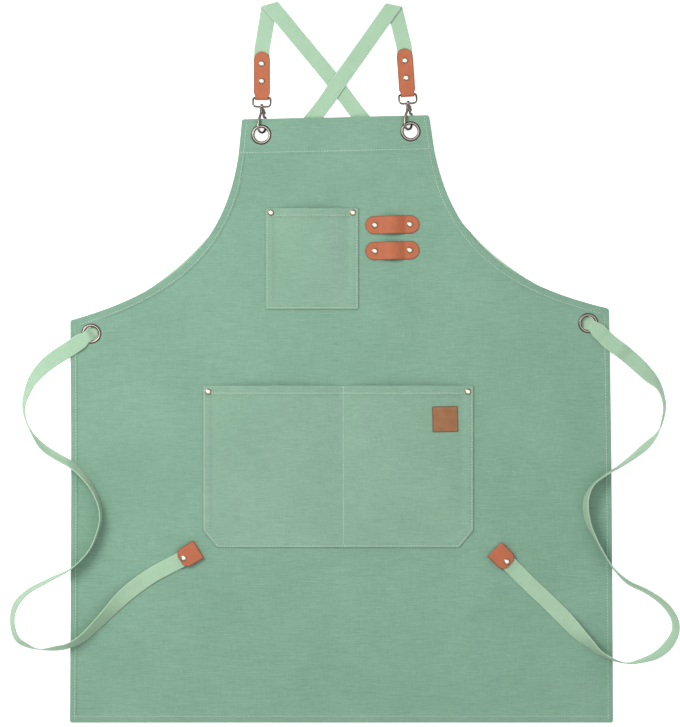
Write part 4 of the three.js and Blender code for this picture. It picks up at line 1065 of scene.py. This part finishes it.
def band(name, stations, thickness, material, edge, node, slot, bulge=0.0):
    """A closed band through (place, across) stations; edge is the radius that its edges are eased by."""
    places = np.array([s[0] for s in stations], dtype=float)
    across = np.array([s[1] for s in stations], dtype=float)
    before = np.concatenate([places[:1], places[:-1]])
    after = np.concatenate([places[1:], places[-1:]])
    along = after - before
    along /= np.linalg.norm(along, axis=1)[:, None]
    normal = np.cross(along, across)
    normal /= np.linalg.norm(normal, axis=1)[:, None]
    run = np.concatenate([[0], np.cumsum(np.linalg.norm(np.diff(places, axis=0), axis=1))])
    half = np.linalg.norm(across, axis=1)
    inward = [0.0, 0.12 * edge, 0.4 * edge, edge, 2 * edge]
    shares = [0.25, 0.5, 0.75]
    ring_in = []
    for width in half:
        near = [min(value, 0.42 * width) for value in inward]
        middle = [lerp(near[-1], 2 * width - near[-1], share) for share in shares]
        ring_in.append(near + middle + [2 * width - value for value in reversed(near)])
    ring_in = np.array(ring_in)
    count = ring_in.shape[1]
    from_edge = np.minimum(ring_in, 2 * half[:, None] - ring_in)
    ease = np.sqrt(np.clip(1 - (1 - np.minimum(from_edge / edge, 1)) ** 2, 0.03, 1))
    puff = bulge * bell(from_edge - 1.6, 0.8)
    offset = half[:, None] - ring_in
    unit = across / half[:, None]
    middle = places[:, None, :] + unit[:, None, :] * offset[:, :, None]
    lift = normal[:, None, :] * ((thickness / 2) * ease + puff)[:, :, None]
    front, back = middle + lift, (middle - lift)[:, ::-1]
    rings = np.concatenate([front, back], axis=1)
    sides = 2 * count
    points = rings.reshape(-1, 3)
    faces = []
    for i in range(len(places) - 1):
        for k in range(sides):
            a, b = i * sides + k, i * sides + (k + 1) % sides
            faces.append((a, a + sides, b + sides, b))
    far = (len(places) - 1) * sides
    for k in range(count - 1):
        faces.append((k, k + 1, sides - 2 - k, sides - 1 - k))
        faces.append((far + sides - 1 - k, far + sides - 2 - k, far + k + 1, far + k))
    if material in (leather, label_leather):
        end = np.minimum(run, run[-1] - run)[:, None]
        v = np.minimum(from_edge, end)
    else:
        v = offset
    v = np.concatenate([v, v[:, ::-1]], axis=1)
    u = np.repeat(run[:, None], sides, axis=1)
    made = piece(name, points, faces, material, uvs=np.stack([u, v], axis=2).reshape(-1, 2))
    stands_for(made, node)
    return made, run[-1]


def leather_band(name, stations, node):
    band(name, stations, LEATHER, leather, LEATHER_EDGE, node, "leather")


def refined(stations, step):
    """The same way in finer steps, curved through the stations."""
    values = np.array([np.concatenate(s) for s in stations], dtype=float)
    gaps = np.maximum(np.linalg.norm(np.diff(values[:, :3], axis=0), axis=1), 1e-3)
    run = np.concatenate([[0], np.cumsum(gaps)])
    slope = np.empty_like(values)
    slope[1:-1] = (values[2:] - values[:-2]) / (run[2:] - run[:-2])[:, None]
    slope[0] = (values[1] - values[0]) / gaps[0]
    slope[-1] = (values[-1] - values[-2]) / gaps[-1]
    out = []
    for i, gap in enumerate(gaps):
        count = max(1, math.ceil(gap / step))
        for k in range(count):
            t = k / count
            a = 2 * t**3 - 3 * t**2 + 1
            b = t**3 - 2 * t**2 + t
            c = -2 * t**3 + 3 * t**2
            d = t**3 - t**2
            out.append(a * values[i] + b * gap * slope[i] + c * values[i + 1] + d * gap * slope[i + 1])
    out.append(values[-1])
    return [(value[:3], value[3:]) for value in out]


# Straps

def ground_height(x, y):
    for eyelet in EYELETS.values():
        if not eyelet["top"] and math.hypot(x - eyelet["x"], y - eyelet["y"]) < FLANGE_RADIUS + 1:
            return RIM_TOP
    height = float(cut_height(x, y))
    if height < HEM or height > CORNER:
        return 0.0
    edge = lerp(CORNER_WIDTH, SKIRT_WIDTH, (CORNER - height) / SKIRT_SPAN) / 2
    within = edge - abs(x)
    if within < -2:
        return 0.0
    corner = within < SIDE_HEM + PATCH[0] + 4 and CORNER - height < PATCH[1] + 4
    thick = corner or within < SIDE_HEM + 4 or height - HEM < BOTTOM_HEM + 4
    return float(back_height(x, y)) + (HEMMED if thick else CANVAS)


def ground_under(x, y, reach):
    heights = [ground_height(x, y)]
    for k in range(8):
        turn = k * math.pi / 4
        heights.append(ground_height(x + reach * math.cos(turn), y + reach * math.sin(turn)))
    return max(heights)


def catmull(values, share):
    """The curve through rows of numbers at a share of its rows."""
    last = len(values) - 1
    p = last * share
    i = min(int(p), last - 1)
    t = p - i
    p1, p2 = values[i], values[i + 1]
    p0 = values[i - 1] if i > 0 else 2 * values[0] - values[1]
    p3 = values[i + 2] if i + 2 <= last else 2 * values[last] - values[last - 1]
    t0, t1 = 0.5 * (p2 - p0), 0.5 * (p3 - p1)
    return (2 * p1 - 2 * p2 + t0 + t1) * t**3 + (-3 * p1 + 3 * p2 - 2 * t0 - t1) * t**2 + t0 * t + p1


class Way:
    """A smooth way through rows of x, y and lean, by distance along it."""

    def __init__(self, rows):
        values = np.array(rows, dtype=float)
        count = len(values) * 24
        samples = np.array([catmull(values, i / count) for i in range(count + 1)])
        self.points, self.leans = samples[:, :2], samples[:, 2]
        steps = np.linalg.norm(np.diff(self.points, axis=0), axis=1)
        self.runs = np.concatenate([[0], np.cumsum(steps)])
        self.length = float(self.runs[-1])

    def at(self, distance):
        i = int(np.clip(np.searchsorted(self.runs, distance), 1, len(self.runs) - 1))
        share = (distance - self.runs[i - 1]) / (self.runs[i] - self.runs[i - 1])
        place = lerp(self.points[i - 1], self.points[i], share)
        heading = self.points[min(len(self.points) - 1, i + 2)] - self.points[max(0, i - 3)]
        heading = heading / np.linalg.norm(heading)
        return place, heading, float(lerp(self.leans[i - 1], self.leans[i], share))

    def nearest(self, x, y):
        return float(self.runs[np.hypot(self.points[:, 0] - x, self.points[:, 1] - y).argmin()])


def hook_place(strap):
    eyelet = EYELETS["eyelet_top_left" if strap["side"] < 0 else "eyelet_top_right"]
    x = eyelet["x"] + strap["shift"]
    y = eyelet["y"] + BEND_RISE
    collar_y = y + COLLAR[0]
    to_tab = np.array([-math.sin(strap["turn"]), math.cos(strap["turn"])])
    return x, y, collar_y, np.array([x, collar_y]) + to_tab * BAIL_LENGTH, to_tab


def across_of(heading, width):
    return np.array([-heading[1], heading[0], 0.0]) * width / 2


def fold_stations(fold, before, after):
    crease = before + after
    crease /= np.linalg.norm(crease)
    outward = before - after
    outward /= np.linalg.norm(outward)
    sine, cosine = float(before @ outward), float(before @ crease)
    to_left = np.sign(crease @ np.array([-before[1], before[0]]))
    across = np.append(crease * to_left * WEBBING_WIDTH / 2 / sine, 0.0)
    middle = FLOOR_GAP + WEBBING / 2 + FOLD_RADIUS
    out = []
    for i in range(9):
        turn = i * math.pi / 8
        flat = fold + crease * (turn * FOLD_RADIUS * cosine / sine) + outward * FOLD_RADIUS * math.sin(turn)
        out.append((np.append(flat, middle - FOLD_RADIUS * math.cos(turn)), across))
    return out, WEBBING_WIDTH / 2 * abs(cosine / sine) + 4


def strap_stations(strap, table):
    *_, bar, to_tab = hook_place(strap)
    fold = np.array(strap["fold"], dtype=float)
    tab_end = TAB["length"] + 2
    start = bar + to_tab * tab_end
    before = (fold - start) / np.linalg.norm(fold - start)
    first = np.array(strap["route"][0], dtype=float)
    after = (first - fold) / np.linalg.norm(first - fold)
    turned, clear = fold_stations(fold, before, after)
    run_in = np.linalg.norm(fold - start) - clear
    out = []
    for distance in (TAB["start"], TAB["length"] / 2, tab_end):
        out.append((np.append(bar + to_tab * distance, STACK_STRAP), across_of(to_tab, WEBBING_WIDTH)))
    for share in (0.25, 0.5, 0.75, 1.0):
        heading = lerp(to_tab, before, min(1, share * 2))
        heading = heading / np.linalg.norm(heading)
        z = lerp(STACK_STRAP, LAY_HEIGHT, float(smooth(share, 0, 0.75)))
        out.append((np.append(start + before * run_in * share, z), across_of(heading, WEBBING_WIDTH)))
    out += turned

    side = strap["side"]
    eyelet = EYELETS["eyelet_side_right" if side < 0 else "eyelet_side_left"]
    leaving = turned[-1][0]
    rows = [(leaving[0], leaving[1], 0)]
    rows += [(x, y, 0) for x, y in strap["route"]]
    rows.append((eyelet["x"], eyelet["y"], 0))
    for outward, down, lean in table:
        place = (eyelet["x"] - side * outward * strap["reach"], eyelet["y"] - down * strap["drop"])
        rows.append((*place, side * lean))
    way = Way(rows)
    through = way.nearest(eyelet["x"], eyelet["y"])
    over = way.nearest(*CROSSING) if side > 0 else None
    distances = list(np.arange(clear, through - UNDER_END, UNDER_STEP))
    distances += [through + offset for offset in NEAR_HOLE]
    tip_start = way.length - (TIP["length"] - TIP["strap_end"]) - 1
    run = tip_start - (through + TIE_LEAD)
    count = round(run / TIE_STEP)
    distances += [through + TIE_LEAD + run * i / count for i in range(count + 1)]
    distances.append(way.length)
    lying = []
    for distance in distances:
        place, heading, lean = way.at(distance)
        offset = distance - through
        near, far = NARROWS_UNDER if offset < 0 else NARROWS_OVER
        in_hole = 1 - float(smooth(abs(offset), near, far))
        width = lerp(WEBBING_WIDTH, HOLE_WIDTH, in_hole) + DIP_SPARE * max(0, 1 - (offset / DIP) ** 2)
        angle = math.radians(lean)
        flat = np.array([-heading[1], heading[0], 0.0]) * math.cos(angle)
        across = -(flat + np.array([0, 0, math.sin(angle)])) * width / 2
        z = LAY_HEIGHT
        if offset < 0:
            z += 2 * FOLD_RADIUS * (1 - float(smooth(distance, *FOLD_FADE)))
            if over is not None:
                near_over = 1 - float(smooth(abs(distance - over), *CROSSING_FADE))
                z += (WEBBING + GAP + CROSSING_SPARE) * near_over
        else:
            reach = max(5, abs(math.cos(angle)) * width / 2 + 2)
            ground = ground_under(place[0], place[1], reach)
            standing = (abs(math.sin(angle)) * width + abs(math.cos(angle)) * WEBBING) / 2
            z = ground + (GAP if ground > 0 else FLOOR_GAP) + standing
            if ground > 0:
                z += float(ripple(place[0], place[1])) * 0.8
            if distance >= tip_start - 1:
                z = CANVAS + STACK_STRAP
        lying.append([place, z, across, offset, distance])
    tie = [station for station in lying if station[3] > TIE_RISE]
    for order in (tie, tie[::-1]):
        for a, b in zip(order, order[1:]):
            b[1] = max(b[1], a[1] - TIE_SLOPE * abs(b[4] - a[4]))
    rim = tie[0][1]
    for station in lying:
        if abs(station[3]) < TIE_RISE:
            station[1] = lerp(LAY_HEIGHT, rim, float(smooth(station[3], -DIP, TIE_RISE)))
    out += [(np.append(place, z), across) for place, z, across, *_ in lying]
    end_place, end_heading, _ = way.at(way.length)
    return out, end_place, end_heading


# Tabs, tips and loops

def arc(centre, radius, start, end, count):
    return [
        (centre[0] + radius * math.cos(lerp(start, end, k / count)),
         centre[1] + radius * math.sin(lerp(start, end, k / count)))
        for k in range(count + 1)
    ]


def fine_ended(path, step, fine, inward):
    """A folded path in about equal steps, with finer ones at both ends; inward is the way in from there."""
    line = resampled(path, step)
    head = [line[0] + (inward * d, 0) for d in fine]
    tail = [line[-1] + (inward * d, 0) for d in reversed(fine)]
    return np.concatenate([head, line[1:-1], tail])


def tab_stations(bar, to_tab):
    """Round the bar from the front's upper end to the back's."""
    mid = LEATHER / 2
    radius = BAIL_RADIUS + GAP + mid
    front, back = STACK_TOP - mid, STACK_BASE + mid
    half, long_end = TAB["width"] / 2, TAB["length"]
    path = [(long_end, front), (TAB["closing"], front), (0.6, BAR_HEIGHT + radius)]
    path += arc((0, BAR_HEIGHT), radius, math.pi / 2, 1.5 * math.pi, 12)
    path += [(1.0, back), (long_end, back)]
    line = fine_ended(path, 1.0, (0.02, 0.08, 0.2, 0.4, 0.65), -1)
    side = np.array([to_tab[1], -to_tab[0]])
    out = []
    for y, z in line:
        round_end = max(0.0, y - (long_end - half))
        width = math.sqrt(max(half**2 - round_end**2, 0.02))
        neck = lerp(TAB["neck"] / 2, half, float(smooth(y, 2.5, 6.5)))
        width = min(width, neck)
        out.append((np.append(bar + to_tab * y, z), np.append(side * width, 0.0)))
    return out


def tip_stations(end, heading):
    """Round the fold at the webbing's end, from the front's inner end to the back's."""
    mid = LEATHER / 2
    radius = WEBBING / 2 + GAP + mid
    front, back = CANVAS + STACK_TOP - mid, CANVAS + STACK_BASE + mid
    centre = (-(radius + mid), CANVAS + STACK_STRAP)
    path = [(-TIP["length"], front), (centre[0], front)]
    path += arc(centre, radius, math.pi / 2, -math.pi / 2, 10)
    path += [(-TIP["length"], back)]
    line = fine_ended(path, 0.8, (0.02, 0.08, 0.2, 0.4, 0.6), 1)
    side = np.array([-heading[1], heading[0]])
    origin = end + heading * TIP["strap_end"]
    half, corner = TIP["width"] / 2, TIP["corner"]
    out = []
    for x, z in line:
        into = max(0.0, corner - (x + TIP["length"]))
        width = half - corner + math.sqrt(max(corner**2 - into**2, 0.02))
        out.append((np.append(origin + heading * x, z), np.append(side * width, 0.0)))
    return out


def loop_stations(x, y):
    half, end = LOOP["length"] / 2, LOOP["width"] / 2
    arch = LOOP["pitch"] / 2 - LOOP_FOOT
    fine = [0.02, 0.08, 0.2, 0.45, 0.8, 1.3, 2.0, 3.0]
    along = [half - d for d in fine] + list(np.arange(half - 4, 0, -1.2))
    along = [-a for a in along] + [0.0] + along[::-1]
    base = float(back_height(x, y)) + CANVAS + LEATHER / 2 + GAP
    out = []
    for distance in along:
        past = max(0.0, abs(distance) - (half - end))
        width = math.sqrt(max(end**2 - past**2, 0.02))
        rise = LOOP["rise"] * max(0.0, 1 - (distance / arch) ** 2) ** 1.4
        turn = (math.cos(SMALL_TURN), math.sin(SMALL_TURN))
        place = (x + distance * turn[0], y + distance * turn[1], base + rise)
        out.append((place, (-turn[1] * width, turn[0] * width, 0.0)))
    return out


# Round metal

def lathe(name, profile, centre, material, sides, node, closed=False):
    """A turned piece on an upright axis; profile rows are radius, height and the colour share that places
    the painted shade and highlight.
    """
    rows = [(radius, z) for radius, z, _ in profile]
    points, faces = turned(rows, (*centre, 0), (0, 0, 1), (1, 0, 0), sides, closed)
    uvs = [(k / sides / MM, share / MM) for *_, share in profile for k in range(sides)]
    stands_for(piece(name, points, faces, material, uvs=uvs), node)


# The third number in each row is the colour share; the crest's shares from about 0.42 to 0.56 take the
# painted highlight.
def eyelet_profile(lift):
    back, front = lift - GAP, lift + HEMMED + GAP
    inner, outer = HOLE_RADIUS, FLANGE_RADIUS
    rows = [(inner, back - 0.2, 0.05), (inner, front + 0.2, 0.1)]
    crest = [(0.25, 0.55, 0.14), (0.8, 0.82, 0.26), (1.5, 0.98, 0.42), (2.3, 1.0, 0.56), (3.0, 0.88, 0.68),
             (3.6, 0.6, 0.8), (4.0, 0.3, 0.92), (4.25, 0.0, 1.0)]
    rows += [(inner + d, front + FLANGE * h, share) for d, h, share in crest]
    rows += [(outer - 0.2, front - 0.15, 1.0), (inner + 0.7, front - 0.15, 0.0)]
    rows += [(inner + 0.7, back + 0.1, 0.0), (outer - 0.5, back + 0.1, 1.0), (outer - 0.6, back - 0.5, 0.9)]
    rows += [(outer - 1.6, back - BACK_FLANGE, 0.6), (inner + 0.8, back - BACK_FLANGE, 0.3)]
    rows += [(inner + 0.15, back - 0.5, 0.1)]
    return rows


for name, eyelet in EYELETS.items():
    lathe(
        f"ring_{name}", eyelet_profile(eyelet["lift"]), (eyelet["x"], eyelet["y"]), eyelet_metal, 64,
        name, closed=True,
    )


# The third number in each row is the colour share; the groove and rim, from 0.62 to 1.0, take the painted
# shade.
def rivet_profile(back, front):
    cap, head = 3.4, HEAD_RADIUS
    rows = [(0.01, back - BACK_CAP, 0.3), (cap - 0.4, back - BACK_CAP, 0.4), (cap, back - 0.5, 0.9)]
    rows += [(cap, back, 1.0), (1.3, back, 1.0), (1.3, front, 1.0), (head - 0.3, front - 0.05, 1.0)]
    rows += [(head, front + 0.12, 1.0), (head - 0.15, front + 0.3, 0.95), (head - 0.6, front + 0.4, 0.85)]
    rows += [(3.0, front + 0.42, 0.75), (2.8, front + 0.62, 0.62)]
    for share in (0.92, 0.8, 0.62, 0.42, 0.22, 0.01):
        dome = 0.55 + (HEAD_HEIGHT - 0.55) * math.sqrt(1 - share**2)
        rows.append((2.75 * share, front + dome, 0.5 * share))
    return rows


def rivet(name, x, y, back, front):
    lathe(f"head_{name}", rivet_profile(back, front), (x, y), rivet_metal, 32, name)


for name, (x, y, layers) in PANEL_RIVETS.items():
    back = float(back_height(x, y))
    rivet(name, x, y, back - GAP, back + CANVAS + layers + GAP)


# Hooks

def tube(points, radii, sides=14):
    """Points and faces of a round wire with closed ends."""
    points = np.asarray(points, dtype=float)
    before = np.concatenate([points[:1], points[:-1]])
    after = np.concatenate([points[1:], points[-1:]])
    along = after - before
    along /= np.linalg.norm(along, axis=1)[:, None]
    out = []
    normal = np.cross(along[0], [0.3, 0.1, 1.0])
    for place, direction, radius in zip(points, along, radii):
        normal = normal - direction * (normal @ direction)
        normal /= np.linalg.norm(normal)
        out += spokes(place, normal, np.cross(direction, normal), radius, sides)
    return out, ring_faces(len(points), sides)


def gathered(parts):
    points, faces = [], []
    for part_points, part_faces in parts:
        base = len(points)
        points += list(part_points)
        faces += [tuple(base + i for i in face) for face in part_faces]
    return points, faces


def smooth_points(points, count):
    values = np.array(points, dtype=float)
    return np.array([catmull(values, k / count) for k in range(count + 1)])


def prism(outline, half):
    """A plate with eased edges over an outline in the hook's own plane."""
    outline = np.asarray(outline, dtype=float)
    centre = outline.mean(axis=0)
    towards = centre - outline
    towards /= np.linalg.norm(towards, axis=1)[:, None]
    rings = []
    for z, inset in ((-half, 0.3), (-half + 0.3, 0.0), (half - 0.3, 0.0), (half, 0.3)):
        rings.append(np.column_stack([outline + towards * inset, np.full(len(outline), z)]))
    return list(np.concatenate(rings)), ring_faces(len(rings), len(outline))


# How much the hook's front arm swells, over how many rows of its wire, and how the nose ends
ARM_SWELL = 0.4
ARM_ROWS = 22
NOSE_END = ((0.35, 1.35), (0.6, 1.0), (0.78, 0.4))


def hook_parts():
    half = HOOK_WIDTH / 2
    low, high, radius = BARREL
    spine = [(-1.2, low + 2), (-2.4, 16.5), (-4.9, 11), (-6.5, 5), (-half, 0)]
    points = [(x, y, 0) for x, y in spine]
    for i in range(1, 10):
        turn = math.pi + i * math.pi / 9
        points.append((half * math.cos(turn), half * math.sin(turn), 0))
    points += [(half, 0.55 * NOSE_HEIGHT, 0), (half - 0.15, NOSE_HEIGHT - 0.8, 0)]
    line = smooth_points(points, 70)
    radii = [WIRE_RADIUS + ARM_SWELL * math.sin(math.pi * min(k / ARM_ROWS, 1)) for k in range(len(line))]
    nose = [line[-1] + np.array([0, rise, 0]) for rise, _ in NOSE_END]
    wire = tube(np.concatenate([line, nose]), radii + [thin for _, thin in NOSE_END], 16)
    knob_low, knob_high, knob_radius = KNOB
    body = turned(
        [(0.4, low - 0.1), (0.72 * radius, low), (radius, low + 0.9), (radius, low + 1.9),
         (radius - 0.35, low + 2.2), (radius - 0.35, high - 1.7), (radius, high - 1.4), (radius, high - 0.7),
         (0.72 * radius, high), (POST_RADIUS, high + 0.05), (POST_RADIUS, knob_low - 0.1),
         (knob_radius * 0.8, knob_low), (knob_radius, knob_low + 0.5), (knob_radius, knob_low + 1.1),
         (knob_radius * 0.75, knob_high - 0.25), (0.3, knob_high)],
        (0, 0, 0), (0, 1, 0), (1, 0, 0), 28,
    )
    cheek = (SLOT_WIDTH + 2.2) / 2
    parts = [wire, body]
    for sign in (-1, 1):
        near, far = sorted((sign * SLOT_WIDTH / 2, sign * cheek))
        rows = [(1.9, near), (2.3, near + 0.2), (2.3, far - 0.2), (1.9, far)]
        parts.append(turned(rows, (PIVOT[0], PIVOT[1], 0), (0, 0, 1), (1, 0, 0), 20))
    reach = cheek + 0.25
    head = [(PIN_RADIUS - 0.2, -reach), (PIN_RADIUS + 0.2, -reach + 0.2), (PIN_RADIUS + 0.2, reach - 0.2),
            (PIN_RADIUS - 0.2, reach)]
    parts.append(turned(head, (PIVOT[0], PIVOT[1], 0), (0, 0, 1), (1, 0, 0), 16))
    return gathered(parts)


# The lever's edge beside the nose, as steps out and up from the nose's inner side
LEVER_EDGE = ((-1.9, -2), (-0.2, -2), (0, -1.8), (0.1, 2.2), (1.6, 3.1), (2, 3.6), (2, 4.8), (1.5, 5.3))


def lever_parts():
    inside_nose = HOOK_WIDTH / 2 - 0.15 - WIRE_RADIUS - GAP
    outline = [(inside_nose + out, NOSE_HEIGHT + up) for out, up in LEVER_EDGE]
    outline.append((PIVOT[0] + 1.9, PIVOT[1] + 0.6))
    outline += arc(PIVOT, 1.7, 0.4, math.pi, 8)
    outline += [(PIVOT[0] - 1.2, PIVOT[1] - 1.6), (inside_nose - 2.1, NOSE_HEIGHT - 1)]
    return prism(outline, LEVER_THICKNESS / 2)


def in_hook_frame(parts, place):
    points, faces = parts
    turn = Matrix.Rotation(HOOK_TURN, 3, "Y")
    return [tuple(turn @ Vector(p) + Vector(place)) for p in points], faces


def bail_parts(strap):
    x, _, collar_y, bar, to_tab = hook_place(strap)
    half = BAIL_WIDTH / 2 - BAIL_RADIUS
    top = np.append(bar, BAR_HEIGHT)
    low = np.array([x, collar_y, HOOK_AXIS])
    down = low - top
    length = np.linalg.norm(down)
    down /= length
    sideways = np.array([to_tab[1], -to_tab[0], 0.0])
    places = []
    corners = [(half, 0), (half, length), (-half, length), (-half, 0)]
    for quarter, (across, along) in enumerate(corners):
        corner = BAIL_CORNER if along == 0 else BAIL_LOW_CORNER
        cx = math.copysign(abs(across) - corner, across)
        cy = corner if along == 0 else length - corner
        for i in range(9):
            angle = (quarter - 1) * math.pi / 2 + i * math.pi / 16
            px, py = cx + corner * math.cos(angle), cy + corner * math.sin(angle)
            places.append(top + sideways * px + down * py)
    places = np.array(places)
    points = []
    sides = 14
    normal = np.cross(sideways, down)
    for i, place in enumerate(places):
        along = places[(i + 1) % len(places)] - places[i - 1]
        along /= np.linalg.norm(along)
        points += spokes(place, normal, np.cross(along, normal), BAIL_RADIUS, sides)
    faces = ring_faces(len(places), sides, closed=True)
    bore = POST_RADIUS + GAP
    ring = [(bore, -COLLAR[1]), (COLLAR[2] - 0.3, -COLLAR[1]), (COLLAR[2], -COLLAR[1] + 0.3),
            (COLLAR[2], COLLAR[1] - 0.3), (COLLAR[2] - 0.3, COLLAR[1]), (bore, COLLAR[1])]
    boss = turned(ring, low, (0, 1, 0), (1, 0, 0), 24, closed=True)
    return gathered([(points, faces), boss])


def metal_uvs(points):
    """Colour share by height, 0 lowest to 1 highest: painted shade low down and painted light on top."""
    z = np.array([p[2] for p in points])
    share = np.clip((z - z.min()) / max(np.ptp(z), 1e-6), 0, 1)
    return np.stack([np.zeros(len(z)), share / MM], axis=1)


def hook_piece(name, parts, node, body="apron", shade=True):
    points, faces = parts
    stands_for(piece(name, points, faces, hook_metal, body, metal_uvs(points), shade), node)


for word, strap in STRAPS.items():
    x, y, collar_y, bar, to_tab = hook_place(strap)
    table = RIGHT_TIE if word == "left" else LEFT_TIE
    other = "right" if word == "left" else "left"

    hook = (x, y, HOOK_AXIS)
    hook_piece(f"hook_{word}_wire", in_hook_frame(hook_parts(), hook), f"hook_body_{word}")
    gate = in_hook_frame(lever_parts(), hook)
    hook_piece(f"hook_{word}_gate", gate, f"hook_lever_{word}", f"lever_{word}", shade=False)
    hook_piece(f"bail_{word}_wire", bail_parts(strap), f"hook_bail_{word}")

    stations, end, heading = strap_stations(strap, table)
    made, length = band(
        f"webbing_{word}", refined(stations, WEBBING_STEP), WEBBING, webbing, WEBBING_EDGE, f"strap_{word}",
        "webbing", SELVEDGE_PUFF,
    )
    leather_band(f"leather_tab_{word}", tab_stations(bar, to_tab), f"strap_tab_{word}")
    leather_band(f"leather_tip_{other}", tip_stations(end, heading), f"strap_tip_{other}")
    for place, distance in zip(("lower", "upper"), TAB["rivets"]):
        rx, ry = bar + to_tab * distance
        rivet(f"rivet_tab_{word}_{place}", rx, ry, STACK_BASE - GAP, STACK_TOP + GAP)
    rx, ry = end + heading * (TIP["strap_end"] - TIP["rivet"])
    rivet(f"rivet_tip_{other}", rx, ry, CANVAS + STACK_BASE - GAP, CANVAS + STACK_TOP + GAP)

for word, y in (("upper", LOOP["y"]), ("lower", LOOP["y"] - LOOP["spacing"])):
    leather_band(f"leather_loop_{word}", loop_stations(LOOP["x"], y), f"tool_loop_{word}")


# Label

def label_outline():
    half = LABEL["side"] / 2
    turn = (math.cos(SMALL_TURN), math.sin(SMALL_TURN))
    corners = []
    for a, b in ((-half, -half), (half, -half), (half, half), (-half, half)):
        corners.append((LABEL["x"] + a * turn[0] - b * turn[1], LABEL["y"] + a * turn[1] + b * turn[0]))
    return eased(resampled([*corners, corners[0]], 2.0)[:-1], 1.2)


def label_lie(x, y, distance):
    """Back and front of the label, just over the waist pocket."""
    rise = pocket_rise(WAIST, x - pocket_sides(WAIST)[0], WAIST["y"] - y)
    base = back_height(x, y) + CANVAS + ripple(x, y) + 0.1 + rise + CANVAS
    groove = 0.25 * bell(distance - 2.0, 0.5)
    return base, base + LABEL["thickness"] - groove


label, _ = cloth(
    "label_leather", label_outline(), LABEL_ROWS, LABEL_STEP, label_lie,
    lambda x, y: (x, y), label_leather,
)
stands_for(label, "label_patch")


# Floor

floor_look = Look("floor", 0.9)
floor_look.colour((0.8, 0.8, 0.8))
floor_look.shader.inputs["Emission Color"].default_value = (1, 1, 1, 1)
floor_look.shader.inputs["Emission Strength"].default_value = 0.62
floor_mesh = bpy.data.meshes.new("floor")
FLOOR_REACH = 4
FLOOR_LEVEL = -0.0002
floor_corners = [(-1, -1), (1, -1), (1, 1), (-1, 1)]
floor_points = [(a * FLOOR_REACH, b * FLOOR_REACH, FLOOR_LEVEL) for a, b in floor_corners]
floor_mesh.from_pydata(floor_points, [], [(0, 1, 2, 3)])
floor_mesh.materials.append(floor_look.material)
floor = bpy.data.objects.new("floor", floor_mesh)
bpy.context.scene.collection.objects.link(floor)
